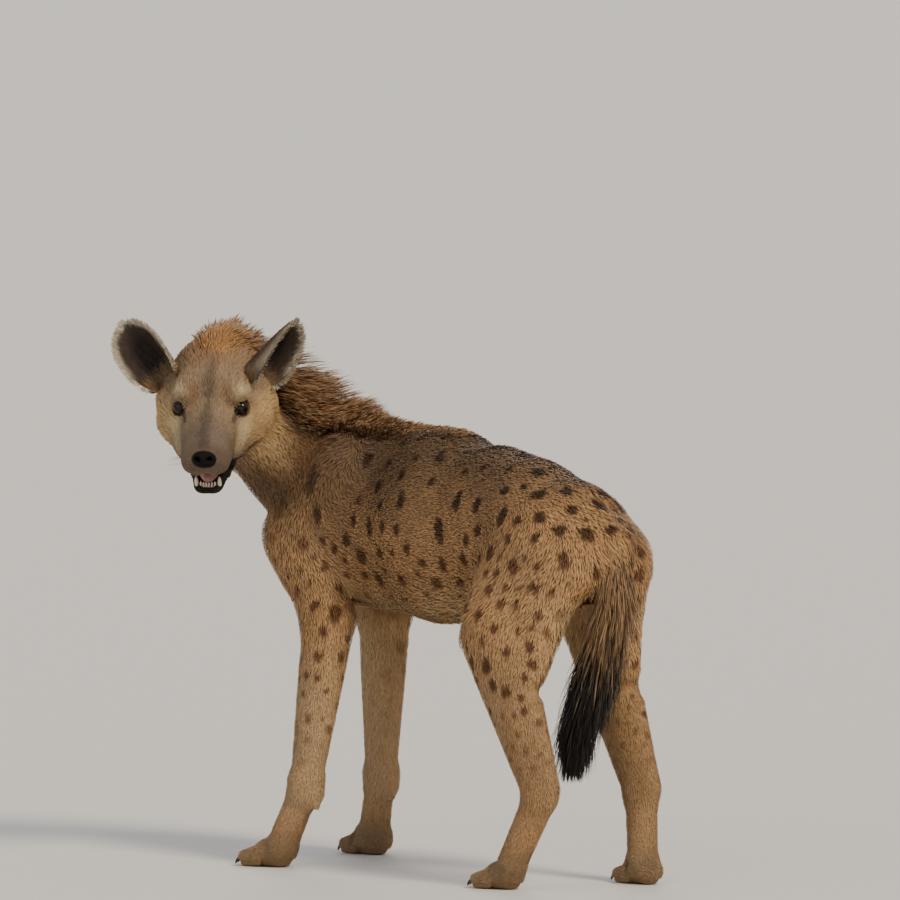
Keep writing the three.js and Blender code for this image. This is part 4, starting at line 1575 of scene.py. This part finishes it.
def corner_normals(points: Array, faces: Array) -> Array:
    """Averages the directions of the faces at each point.

    Args:
        points: Rows of places.
        faces: Rows of four point numbers.

    Returns:
        Rows of unit directions.
    """
    a, b, c, d = (points[faces[:, k]] for k in range(4))
    face = np.cross(c - a, d - b)
    total = np.zeros_like(points)
    for axis in range(3):
        for k in range(4):
            total[:, axis] += np.bincount(faces[:, k], weights=face[:, axis], minlength=len(points))
    return unit(total)


FRINGE = 1500  # longer hairs along the edge of one ear

EARS = [
    Ear("ear_left", (44, 57, 26), (-0.06, 0.7, 0.71), (0.62, 0.78, -0.2)),
    Ear("ear_right", (44, -84, 6), (-0.25, -0.64, 0.72), (0.95, -0.1, 0.3)),
]


def add_ear(kit: Kit, ear: Ear, rng: np.random.Generator) -> None:
    """Adds an ear with the fur of its back, its pale rim and the hairs in its cup.

    Args:
        kit: Maker of objects.
        ear: The ear.
        rng: Source of random numbers.
    """
    hide, inner = ear.shell()
    up, across, front = ear.axes()
    base = np.array(on_head(*ear.base))

    def tint(points: Array, inside: Array) -> Array:
        """Colours the ear: brown behind, dark within, pale along its edge and foot.

        Args:
            points: Rows of places in millimetres.
            inside: How far each is inside the cup, from 0 to 1.

        Returns:
            Rows of linear colour.
        """
        t = (points - base) @ up / ear.length
        side = np.abs((points - base) @ across) / ear.half_width
        colour = mix(BACK, EAR_INSIDE, inside)
        deep = inside * smooth(np.hypot(side / 0.8, (t - 0.42) / 0.5), 1.0, 0.35)
        colour = mix(colour, LIP, 0.7 * deep)
        edge = smooth(np.hypot(side, np.maximum(t - 0.5, 0) / 0.5), 0.8, 0.99)
        colour = mix(colour, EAR_RIM, 0.75 * edge * (0.4 + 0.6 * inside))
        return mix(colour, GREY_TAN, 0.7 * smooth(t, 0.22, 0.02))

    thing = kit.make(ear.name, hide.points, hide.faces, Finishes.SKIN.value.build(), "coat")
    kit.paint(thing, tint(hide.points, inner))
    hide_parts(ear.name)
    count = len(inner) // 2

    def fur(part: Hide, inside: float, layers: float, length: float, lift: float) -> Tufts:
        """Grows tufts on one side of the ear, lying towards its tip and edge.

        Args:
            part: That side.
            inside: 1 for the cup and 0 for the back.
            layers: How many tufts lie over one another.
            length: Their length in millimetres.
            lift: Height of their tips over their length.

        Returns:
            The tufts.
        """
        root, outward = scatter(part, lambda p: np.full(len(p), layers / (length * 1.4)), rng)
        spread = ((root - base) @ across / ear.half_width)[:, None] * across * 0.8
        lie = up + spread + rng.normal(0, 0.16, root.shape)
        lie = along_skin(lie, outward)
        size = length * rng.uniform(0.7, 1.3, len(root))
        tip = root + lie * size[:, None] + outward * (size * lift)[:, None]
        middle = root + lie * (size * 0.5)[:, None] + outward * (size * lift * 0.8)[:, None]
        wide = unit(np.cross(lie, outward)) * rng.uniform(0.5, 0.9, (len(root), 1))
        shade = vary(rng, 0.14, len(root))
        colour = tint(root, np.full(len(root), inside)) * shade
        return Tufts(root - outward * 0.3, middle, tip, wide, outward, colour)

    outer_faces = hide.faces[np.all(hide.faces < count, axis=1)]
    inner_faces = hide.faces[np.all(hide.faces >= count, axis=1)]
    back = fur(Hide(hide.points, outer_faces, hide.normals), 0.0, 4.2, 10.0, 0.16)
    cup = fur(Hide(hide.points, inner_faces, hide.normals), 1.0, 1.9, 12.0, 0.22)
    t = rng.uniform(0.02, 1.0, FRINGE)
    hand = np.sign(rng.uniform(-1, 1, FRINGE))
    top = rng.random(FRINGE) < 0.3
    t = np.where(top, 1.0, t)
    turn = np.where(top, rng.uniform(-1, 1, FRINGE), hand)
    root = ear.sheet(t, turn, 1.5)
    out = unit(root - (base + up * ear.length * 0.45 + front * 12))
    fringe_lie = unit(out + up * 0.7 + rng.normal(0, 0.22, root.shape))
    size = rng.uniform(6, 13, FRINGE)[:, None]
    wide = unit(np.cross(fringe_lie, front)) * rng.uniform(0.4, 0.8, (FRINGE, 1))
    shade = vary(rng, 0.2, FRINGE)
    fringe = Tufts(
        root,
        root + fringe_lie * size * 0.5 + front * 0.8,
        root + fringe_lie * size,
        wide,
        np.broadcast_to(front, root.shape),
        mix(EAR_RIM, BACK, rng.uniform(0.1, 0.7, FRINGE)) * shade,
    )
    patchwork = Patchwork(tuple(base - up * 12), tuple(base + up * ear.length * 1.1))
    joined = Tufts.merge([back, cup, fringe])
    add_coat(kit, f"{ear.name}_fur", joined, False, patchwork, Finishes.FUR.value.build(), "coat")


# Eyes, claws, mouth


def tube(levels: int, around: int) -> tuple[Array, Array]:
    """Joins rings of points by faces.

    Args:
        levels: Number of rings.
        around: Points in each ring.

    Returns:
        Point numbers by ring, and the faces between the rings.
    """
    index = np.arange(levels * around).reshape(levels, around)
    after = np.roll(index, -1, axis=1)
    return index, np.stack([index[:-1], index[1:], after[1:], after[:-1]], axis=-1).reshape(-1, 4)


def ball(
    centre: Array, axes: Array, radii: Point, rings: int, around: int
) -> tuple[Array, Array, Array]:
    """Draws a closed oval ball.

    Args:
        centre: Its middle.
        axes: Rows of its three directions; the poles lie along the last.
        radii: Half sizes along the rows.
        rings: Levels between the poles.
        around: Points in each level.

    Returns:
        Points, faces and the points' directions in the ball's own axes.
    """
    polar = np.linspace(0, np.pi, rings + 2)[1:-1]
    turn = np.arange(around) / around * 2 * np.pi
    p, q = (grid.ravel() for grid in np.meshgrid(polar, turn, indexing="ij"))
    ring = np.stack([np.sin(p) * np.cos(q), np.sin(p) * np.sin(q), np.cos(p)], axis=1)
    directions = np.concatenate([ring, [[0, 0, 1], [0, 0, -1]]])
    index, sides = tube(rings, around)
    north, south = rings * around, rings * around + 1
    first, second = index[0, ::2], index[0, 1::2]
    top = np.stack([np.full(around // 2, north), first, second, np.roll(first, -1)], axis=1)
    low, high = index[-1, ::2], index[-1, 1::2]
    bottom = np.stack([np.full(around // 2, south), np.roll(low, -1), high, low], axis=1)
    faces = np.concatenate([sides, top, bottom])
    points = centre + (directions * np.array(radii)) @ axes
    if np.linalg.det(axes) < 0:
        faces = faces[:, ::-1]
    return points, faces, directions


def add_eye(kit: Kit, name: str, hand: int) -> None:
    """Adds a wet, dark brown eye with a round pupil.

    Args:
        kit: Maker of objects.
        name: Node that it stands for.
        hand: 1 for the left and -1 for the right.
    """
    points, faces, directions = ball(EYE.centre(hand), EYE.axes(hand), (EYE.radius,) * 3, 40, 48)
    away = np.arccos(np.clip(directions[:, 2], -1, 1)) * EYE.radius
    white, iris, pupil = linear("#2E2018"), linear("#27160C"), linear("#050403")
    colour = mix(iris, white, smooth(away, 8.6, 9.8))
    colour = mix(colour, pupil, smooth(np.abs(away - 9), 1.0, 0.3) * 0.7)
    colour = mix(colour, pupil, smooth(away, 4.6, 3.9))
    eye = kit.make(name, points, faces, Finishes.EYE.value.build(), "eye")
    kit.paint(eye, colour)
    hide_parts(name)


def horn(root: Array, middle: Array, tip: Array, radius: float, flat: float = 1.0) -> tuple[Array, Array]:
    """Draws a bent cone with a closed root.

    Args:
        root: Middle of its root.
        middle: Point that bends it.
        tip: Its point.
        radius: Radius at the root.
        flat: Width across over its depth.

    Returns:
        Points and faces.
    """
    around, levels = 12, 7
    t = np.linspace(0, 0.93, levels)[:, None]
    path = (1 - t) ** 2 * root + 2 * t * (1 - t) * middle + t * t * tip
    way = unit(tip - root)
    side = unit(np.cross(way, [0.02, 0.03, 1.0]) + 1e-6)
    other = np.cross(side, way)
    size = radius * np.sqrt(1 - t.ravel() ** 1.6)
    turn = np.arange(around) / around * 2 * np.pi
    ring = np.cos(turn)[None, :, None] * side * flat + np.sin(turn)[None, :, None] * other
    points = (path[:, None, :] + ring * size[:, None, None]).reshape(-1, 3)
    index, sides = tube(levels, around)
    points = np.concatenate([points, [tip, root]])
    top, bottom = levels * around, levels * around + 1
    caps = []
    for k in range(0, around, 2):
        a, b, c = index[-1, k], index[-1, (k + 1) % around], index[-1, (k + 2) % around]
        caps.append([top, c, b, a])
        a, b, c = index[0, k], index[0, (k + 1) % around], index[0, (k + 2) % around]
        caps.append([bottom, a, b, c])
    return points, np.concatenate([sides[:, ::-1], np.array(caps)])


def join(pieces: Sequence[tuple[Array, Array]]) -> tuple[Array, Array]:
    """Joins several point and face lists into one.

    Args:
        pieces: Points and faces of each piece.

    Returns:
        Points and faces of all.
    """
    shift, points, faces = 0, [], []
    for some_points, some_faces in pieces:
        points.append(some_points)
        faces.append(some_faces + shift)
        shift += len(some_points)
    return np.concatenate(points), np.concatenate(faces)


def add_claws(kit: Kit) -> None:
    """Adds the blunt, dark claws, four on each paw.

    Args:
        kit: Maker of objects.
    """
    horns = []
    for leg in LEGS:
        _, length, height = leg.paw_size()
        for x, y in leg.toes():
            root = np.array(leg.on_paw(x, y - length * 0.13, height * 0.4))
            tip = np.array(leg.on_paw(x * 1.03, y - length * 0.13 - 17, 3.6))
            middle = np.array(leg.on_paw(x * 1.02, y - length * 0.13 - 12, height * 0.36))
            horns.append(horn(root, middle, tip, 4.0, 0.8))
    kit.make("claws", *join(horns), Finishes.CLAW.value.build(), "bare_skin")


def add_mouth(kit: Kit) -> None:
    """Adds the tongue, and the six incisors and two canines that show in the parted mouth.

    Args:
        kit: Maker of objects.
    """
    teeth = []
    for side in (-12.0, -7.2, -2.4, 2.4, 7.2, 12.0):
        along = 230 - 0.02 * side * side
        root, tip = np.array(on_jaw(along, side, -90)), np.array(on_jaw(along + 1, side, -75))
        teeth.append(horn(root, (root + tip) / 2 + JAW_AHEAD, tip, 3.1, 0.9))
    for side in (-18.5, 18.5):
        root, tip = np.array(on_jaw(222, side, -92)), np.array(on_jaw(224, side * 1.1, -68))
        teeth.append(horn(root, (root + tip) / 2 + JAW_AHEAD * 2.5, tip, 5.2, 0.85))
    kit.make("teeth", *join(teeth), Finishes.TOOTH.value.build(), "tongue")
    axes = np.stack([LEFT, JAW_AHEAD, JAW_UP])
    points, faces, where = ball(np.array(on_jaw(176, 0, -79)), axes, (19, 50, 9.5), 24, 40)
    groove = np.exp(-((where[:, 0] / 0.16) ** 2)) * np.maximum(where[:, 2], 0) * 2.4
    points = points - groove[:, None] * JAW_UP
    tongue = kit.make("tongue", points, faces, Finishes.TONGUE.value.build(), "tongue")
    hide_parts("tongue")


# Mane, tail and whiskers


def project(animal: Animal, points: Array, steps: int = 6) -> tuple[Array, Array]:
    """Moves points onto the skin, and finds the way out of it.

    Args:
        animal: The flesh.
        points: Rows of places in millimetres, not far from the skin.
        steps: How often each point is moved.

    Returns:
        The places on the skin, and the outward directions.
    """
    for _ in range(steps):
        normals, slope = animal.normal(points, 1.5)
        move = (animal.value(points) + coat_depth(points)) / np.maximum(slope, 0.5)
        points = points - normals * np.clip(move, -30, 30)[:, None]
    return points, animal.normal(points, 4.0)[0]


MANE_COUNT = 9000  # locks of the mane
BRUSH_COUNT = 4200  # locks of the tail
WHISKER_COUNT = 44
BRUSH_END = 178.0  # height of the lowest tips of the tail


def distances(line: Array) -> Array:
    """How far along a line each of its points lies."""
    return np.concatenate([[0], np.cumsum(np.linalg.norm(np.diff(line, axis=0), axis=1))])


def on_line(line: Array, reach: Array, place: Array) -> Array:
    """Points of a line at given distances along it; reach is what distances() tells of it."""
    return np.stack([np.interp(place, reach, line[:, k]) for k in range(3)], axis=1)


def crest(animal: Animal, rng: np.random.Generator) -> Tufts:
    """Grows the mane: from between the ears, over the nape and down to the middle of the back.

    The hair is longest on the nape, leans back along the line and settles to both sides.

    Args:
        animal: The flesh.
        rng: Source of random numbers.

    Returns:
        The locks.
    """
    line = np.array(
        [
            on_head(40, 0, 48),
            on_head(8, 0, 60),
            (140, -388, 868),
            (92, -352, 815),
            (52, -300, 770),
            (26, -240, 745),
            (12, -120, 742),
            (0, 60, 735),
        ]
    )
    length = np.array([18, 50, 72, 82, 84, 72, 44, 24], float)
    lift = np.array([0.6, 1.0, 1.15, 1.2, 1.12, 0.9, 0.5, 0.25])
    reach = distances(line)
    count = MANE_COUNT
    place = reach[-1] * rng.random(count) ** 1.12
    middle = on_line(line, reach, place)
    way = unit(on_line(line, reach, place + 12) - middle + 1e-6)
    side = unit(np.cross([0, 0, 1.0], way))
    offset = np.clip(rng.normal(0, 0.45, count), -1.1, 1.1)
    width = np.interp(place, reach, [20, 28, 34, 40, 42, 40, 34, 24])
    start = middle - np.array([0, 0, 18.0]) + side * (offset * width)[:, None]
    root, outward = project(animal, start)
    clump = 1 + 0.12 * ripple(root, 36, 51)
    size = np.interp(place, reach, length) * rng.uniform(0.6, 1.0, count) * clump
    size = size * (1 - 0.5 * np.abs(offset))
    rise = np.interp(place, reach, lift) * rng.uniform(0.7, 1.1, count) * (1 - 0.25 * np.abs(offset))
    sway = 0.24 * ripple(root, 48, 52) + rng.normal(0, 0.12, count)
    lie = unit(way + side * (offset * 0.5 + sway)[:, None])
    first = unit(lie * np.cos(rise)[:, None] + outward * np.sin(rise)[:, None])
    later = unit(lie * np.cos(rise * 0.62)[:, None] + outward * np.sin(rise * 0.62)[:, None])
    bend = root + first * (size * 0.55)[:, None]
    tip = bend + later * (size * 0.45)[:, None]
    across = unit(np.cross(first, lie + side * 0.4 + rng.normal(0, 0.3, root.shape)))
    half = rng.uniform(0.7, 1.5, count)[:, None]
    tone = mix(MANE, MANE_DARK, smooth(rng.random(count), 0.4, 1.0) * 0.8)
    tone = mix(tone, MANE_DARK, 0.45 * smooth(np.abs(offset), 0.25, 0.9))
    tone = mix(tone, CROWN, 0.75 * smooth(place, 120, 30))
    tone = mix(tone, CREAM, 0.3 * smooth(rng.random(count), 0.6, 1.0))
    shade = vary(rng, 0.16, count)
    return Tufts(root - outward * 2, bend, tip, across * half, unit(np.cross(across, first)), tone * shade)


def brush(spots: Spots, rng: np.random.Generator) -> Tufts:
    """Grows the tail brush: long locks, brown above and near-black below, round the tail's flesh.

    Args:
        spots: The dark spots.
        rng: Source of random numbers.

    Returns:
        The locks.
    """
    reach = distances(TAIL_PATH)
    count = BRUSH_COUNT
    place = rng.uniform(reach[1] - 12, reach[-1], count)
    middle = on_line(TAIL_PATH, reach, place)
    below = on_line(TAIL_PATH, reach, place + 8)
    way = unit(below - middle + [0, 0, -0.01])
    turn = rng.uniform(0, 2 * np.pi, count)
    side = unit(np.cross(way, [1.0, 0.1, 0.0]))
    outward = side * np.cos(turn)[:, None] + np.cross(way, side) * np.sin(turn)[:, None]
    radius = np.interp(place, reach, TAIL_HALF) * 0.72
    root = middle + outward * radius[:, None]
    size = np.interp(place, reach, [40, 46, 78, 96, 100, 78]) * rng.uniform(0.7, 1.08, count)
    down = unit(way * 0.75 + [0.02, 0, -0.6] + rng.normal(0, 0.06, root.shape))
    flare = np.interp(place, reach, [0.08, 0.16, 0.28, 0.32, 0.24, 0.12]) * rng.uniform(0.5, 1.25, count)
    middle = root + down * (size * 0.5)[:, None] + outward * (size * flare)[:, None]
    tip = root + down * size[:, None] + outward * (size * flare * 0.8)[:, None]
    tip = tip + rng.normal(0, 3, root.shape)
    tip[:, 2] = np.maximum(tip[:, 2], BRUSH_END)
    across = unit(np.cross(outward, down)) * rng.uniform(0.9, 1.9, (count, 1))
    dark = smooth(root[:, 2] + rng.normal(0, 26, count), 500, 375)
    fair = mix(markings(root + [0, -60, 60], spots), BACK, 0.5)
    colour = mix(fair, BRUSH, np.clip(dark + 0.12, 0, 1)) * vary(rng, 0.2, count)
    return Tufts(root, middle, tip, across, outward, colour)


def whiskers(rng: np.random.Generator) -> Tufts:
    """Grows a few dark whiskers on both sides of the muzzle.

    Args:
        rng: Source of random numbers.

    Returns:
        The whiskers, as slim locks.
    """
    count = WHISKER_COUNT
    hand = np.where(np.arange(count) % 2 == 0, 1.0, -1.0)
    a, u = rng.uniform(206, 244, count), rng.uniform(-72, -52, count)
    spots = np.stack([a, hand * 34, u], axis=1)
    root = OCCIPUT + spots @ HEAD_AXES
    out = unit(LEFT * hand[:, None] - AHEAD * 0.55 - UP * 0.25 + rng.normal(0, 0.16, root.shape))
    size = rng.uniform(26, 52, count)[:, None]
    droop = UP * size * -0.16
    wide = unit(np.cross(out, UP)) * 0.28
    colour = np.broadcast_to(LIP, root.shape)
    raised = np.broadcast_to(UP, root.shape)
    return Tufts(root, root + out * size * 0.5, root + out * size + droop, wide, raised, colour)


# The whole model


@dataclass(frozen=True)
class Region:
    """A part of the coat: the test that bounds it, negative inside, and its unwrap."""

    name: str
    keep: Callable[[Array], Array]
    patchwork: Patchwork


SKIN_OVERLAP = 6.0  # how far the body's skin runs on inside the head's block
BODY_END = 66.0  # the body's skin ends at this height
PAW_END = 74.0  # the finer skin of the paws ends here, above the body's end
PAW_SEAM = 70.0  # the body's own tufts end here, and the paws' take over
LEG_TOP = 455.0  # the legs' coat meets the trunk's at this height
TAIL_START = 432.0  # the tail's coat begins this far back


def in_body(points: Array) -> Array:
    """Negative on the body's own skin, outside the head's block and above the paws."""
    return np.maximum(-head_space(points, -SKIN_OVERLAP), BODY_END - points[:, 2])


def in_face(points: Array) -> Array:
    """Negative on the finer skin of the head."""
    return head_space(points, 0.0)


def in_paws(points: Array) -> Array:
    """Negative on the finer skin of the paws."""
    return points[:, 2] - PAW_END


def leg_region(leg: Leg) -> Region:
    """Bounds the coat of one leg below the trunk.

    Args:
        leg: The leg.

    Returns:
        Its region.
    """
    top = np.array(leg.top)

    def keep(points: Array) -> Array:
        """Tells which points are on this leg.

        Args:
            points: Rows of places in millimetres.

        Returns:
            Negative values on the leg.
        """
        same_end = points[:, 1] * (-1 if leg.fore else 1) < 0
        same_side = (points[:, 0] - 8) * leg.hand < 0
        return np.maximum(points[:, 2] - LEG_TOP, np.where(same_end | same_side, 1.0, -1.0))

    foot = np.array(leg.knuckle) * (1, 1, 0)
    return Region(f"coat_{leg.name}", keep, Patchwork(tuple(foot), tuple(top + (0, 0, 40))))


def in_trunk(points: Array) -> Array:
    """Negative on the trunk's coat."""
    return np.maximum(LEG_TOP - points[:, 2], np.maximum(points[:, 1] - TAIL_START, neck_side(points)))


def neck_side(points: Array) -> Array:
    """Positive ahead of the root of the neck."""
    way = unit(NECK_PATH[1] - NECK_PATH[0])
    return (points - np.array([34, -286, 668])) @ way


def in_neck(points: Array) -> Array:
    """Negative on the neck's coat."""
    return np.maximum.reduce([-neck_side(points), LEG_TOP - points[:, 2], -head_space(points, -2.0)])


def in_tail(points: Array) -> Array:
    """Negative on the tail's own coat."""
    return np.maximum(TAIL_START - points[:, 1], LEG_TOP - points[:, 2])


REGIONS = [
    Region("coat_trunk", in_trunk, Patchwork((0, -330, 600), (0, 440, 580))),
    Region("coat_neck", in_neck, Patchwork((10, -220, 620), (200, -350, 850))),
    Region("coat_tail", in_tail, Patchwork((0, 425, 590), (12, 470, 450))),
    *(leg_region(leg) for leg in LEGS),
]


def part_of(hide: Hide, keep: Callable[[Array], Array]) -> Hide:
    """Picks the faces of a skin whose middles lie where a test is negative."""
    middle = hide.points[hide.faces].mean(axis=1)
    return Hide(hide.points, hide.faces[keep(middle) < 0], hide.normals)


@dataclass
class Hyena:
    """The dressed animal."""

    kit: Kit
    animal: Animal = field(default_factory=Animal)
    spots: Spots | None = None
    rng: np.random.Generator = field(default_factory=lambda: np.random.default_rng(SEED))

    def build(self) -> None:
        """Builds every piece: skins, coat, ears, eyes, claws, mouth, mane, tail and whiskers."""
        ground = Finishes.SKIN.value.build()
        fur = Finishes.FUR.value.build()
        body = draw_hide(self.animal, BODY_BOX, in_body)
        face = draw_hide(self.animal, FACE_BOX, in_face)
        paws = draw_hide(self.animal, PAW_BOX, in_paws)
        places, _ = scatter(body, lambda points: np.full(len(points), SPOT_DENSITY), self.rng)
        self.rng.shuffle(places)
        spots = Spots.strew(places, self.rng)
        self.spots = spots
        self.add_skin("skin_body", body, ground, "coat", BODY_NODES)
        self.add_skin("skin_paws", paws, ground, "coat", PAW_NODES)
        self.add_skin("skin_head", face, ground, "face_coat", HEAD_NODES)
        hair = Hair(coat_length)
        for region in REGIONS:
            grown = grow_tufts(self.animal, part_of(body, region.keep), hair, spots, self.rng)
            if region.name.startswith(("coat_fore", "coat_hind")):
                toes = grow_tufts(self.animal, part_of(paws, region.keep), hair, spots, self.rng)
                toes = toes.take(np.flatnonzero((toes.root[:, 2] > 4.0) & (toes.outward[:, 2] > -0.5)))
                grown = grown.take(np.flatnonzero(grown.root[:, 2] > PAW_SEAM))
                grown = Tufts.merge([grown, toes])
            add_coat(self.kit, region.name, grown, False, region.patchwork, fur, "coat")
        short = grow_tufts(self.animal, face, Hair(coat_length, slim=0.11, layers=3.4), spots, self.rng)
        short = short.take(np.flatnonzero(self.furred(short.root)))
        face_map = Patchwork(on_head(20, 0, -20), on_head(262, 0, -50))
        add_coat(self.kit, "coat_face", short, False, face_map, fur, "face_coat")
        for ear in EARS:
            add_ear(self.kit, ear, self.rng)
        add_eye(self.kit, "eye_left", 1)
        add_eye(self.kit, "eye_right", -1)
        add_claws(self.kit)
        add_mouth(self.kit)
        coarse = Finishes.MANE_HAIR.value.build()
        mane_map = Patchwork((0, 60, 700), (230, -390, 860))
        add_coat(self.kit, "mane_locks", crest(self.animal, self.rng), True, mane_map, coarse, "mane")
        tail_map = Patchwork((5, 470, 560), (24, 385, 180))
        add_coat(self.kit, "tail_locks", brush(spots, self.rng), True, tail_map, coarse, "tail_brush")
        whisker_map = Patchwork(on_head(190, 0, -60), on_head(260, 0, -60))
        dark = Finishes.WHISKER.value.build()
        add_coat(self.kit, "whiskers", whiskers(self.rng), True, whisker_map, dark, "bare_skin")

    def furred(self, points: Array) -> Array:
        """Tells which roots on the head bear fur: not the nose pad, eyes, lips, chin or mouth.

        Args:
            points: Rows of places in millimetres.

        Returns:
            One truth value for each row.
        """
        a, s, u = in_head(points).T
        folded = np.stack([a, np.abs(s), u], axis=1)
        pad = from_pad(folded) > PAD_EDGE
        eye = from_eye(folded) > EYE_EDGE
        slope = mouth_height(a, u)
        mouth = (a > 126) & (slope < LIP_TOP) & (slope > LIP_LOW)
        chin = (a > 192) & (slope < LIP_TOP)
        return pad & eye & ~mouth & ~chin

    def add_skin(
        self, name: str, hide: Hide, finish: bpy.types.Material, slot: str, nodes: Sequence[str]
    ) -> None:
        """Adds one skin with its markings, darkened as painted shade under the coat.

        Args:
            name: Name of the piece.
            hide: Its surface.
            finish: Its material.
            slot: Material slot of the record, handed on to Kit.make, which does not use it.
            nodes: Solids it stands for.
        """
        thing = self.kit.make(name, hide.points, hide.faces, finish, slot)
        # Markings darkened to 0.8: painted shade on the skin between the tufts, like the tufts' roots.
        self.kit.paint(thing, markings(hide.points, self.spots) * 0.8)
        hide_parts(*nodes)


SIDES = ("left", "right")
BODY_NODES = ["torso", "neck", "tail"] + [
    f"{part}_{side}" for part in ("upper_foreleg", "forearm", "thigh", "shank") for side in SIDES
]
PAW_NODES = [f"{part}_{side}" for part in ("fore_foot", "hind_foot") for side in SIDES]
HEAD_NODES = ["head", "lower_jaw", "nose"]


@dataclass(frozen=True)
class Studio:
    """Pale floor, soft lights and the photograph's camera."""

    spot: Point = (10.032, 12.079, 1.5)
    lens: float = 372.0
    pitch: float = math.radians(2.83)
    heading: float = math.radians(50)

    def build(self, collection: bpy.types.Collection) -> None:
        """Adds the floor, the lights, the pale surroundings and the camera.

        Args:
            collection: Where they go.
        """
        mesh = bpy.data.meshes.new("floor")
        reach = 3000.0
        corners = [(-reach, -reach, 0), (reach, -reach, 0), (reach, reach, 0), (-reach, reach, 0)]
        mesh.from_pydata(corners, [], [(0, 1, 2, 3)])
        mesh.materials.append(Finish("pale_floor", 0.9, specular=0.1, colour="#D8D3CB").build())
        floor = bpy.data.objects.new("floor", mesh)
        collection.objects.link(floor)
        self.light(collection, "key", (0.2, 2.6, 2.9), 16.0, 2.7, "#FFF3E0")
        self.light(collection, "fill", (4.4, 0.9, 2.2), 60.0, 0.7, "#EAF0FF")
        self.light(collection, "rim", (-2.6, -3.0, 2.6), 30.0, 1.0, "#FFFFFF")
        world = bpy.data.worlds.new("pale_room")
        world.use_nodes = True
        world.node_tree.nodes["Background"].inputs["Color"].default_value = (*linear("#DDE2E8"), 1.0)
        world.node_tree.nodes["Background"].inputs["Strength"].default_value = 0.6
        bpy.context.scene.world = world
        data = bpy.data.cameras.new("camera")
        data.lens, data.sensor_width = self.lens, 36.0
        data.clip_start, data.clip_end = 0.1, 6000.0
        camera = bpy.data.objects.new("camera", data)
        camera.location = self.spot
        camera.rotation_euler = (math.pi / 2 - self.pitch, 0.0, math.pi - (math.pi / 2 - self.heading))
        collection.objects.link(camera)
        bpy.context.scene.camera = camera

    def light(
        self,
        collection: bpy.types.Collection,
        name: str,
        place: Point,
        spread: float,
        power: float,
        colour: str,
    ) -> None:
        """Adds a soft, distant light aimed at the middle of the animal.

        Args:
            collection: Where it goes.
            name: Its name.
            place: Where it shines from, in metres.
            spread: Width of its disc in degrees, which softens the shadows.
            power: Strength.
            colour: sRGB hex colour.
        """
        data = bpy.data.lights.new(name, "SUN")
        data.angle, data.energy, data.color = math.radians(spread), power, linear(colour)
        lamp = bpy.data.objects.new(name, data)
        lamp.location = place
        way = np.array([0, 0, 0.5]) - np.array(place)
        flat = math.hypot(way[0], way[1])
        lamp.rotation_euler = (math.atan2(flat, -way[2]), 0.0, math.atan2(way[1], way[0]) - math.pi / 2)
        collection.objects.link(lamp)


def main() -> None:
    """Builds the hyena and its studio."""
    logging.basicConfig(level=logging.INFO, format="%(message)s")
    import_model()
    collection = bpy.context.scene.collection
    Hyena(Kit(collection)).build()
    Studio().build(collection)


if __name__ == "__main__":
    main()
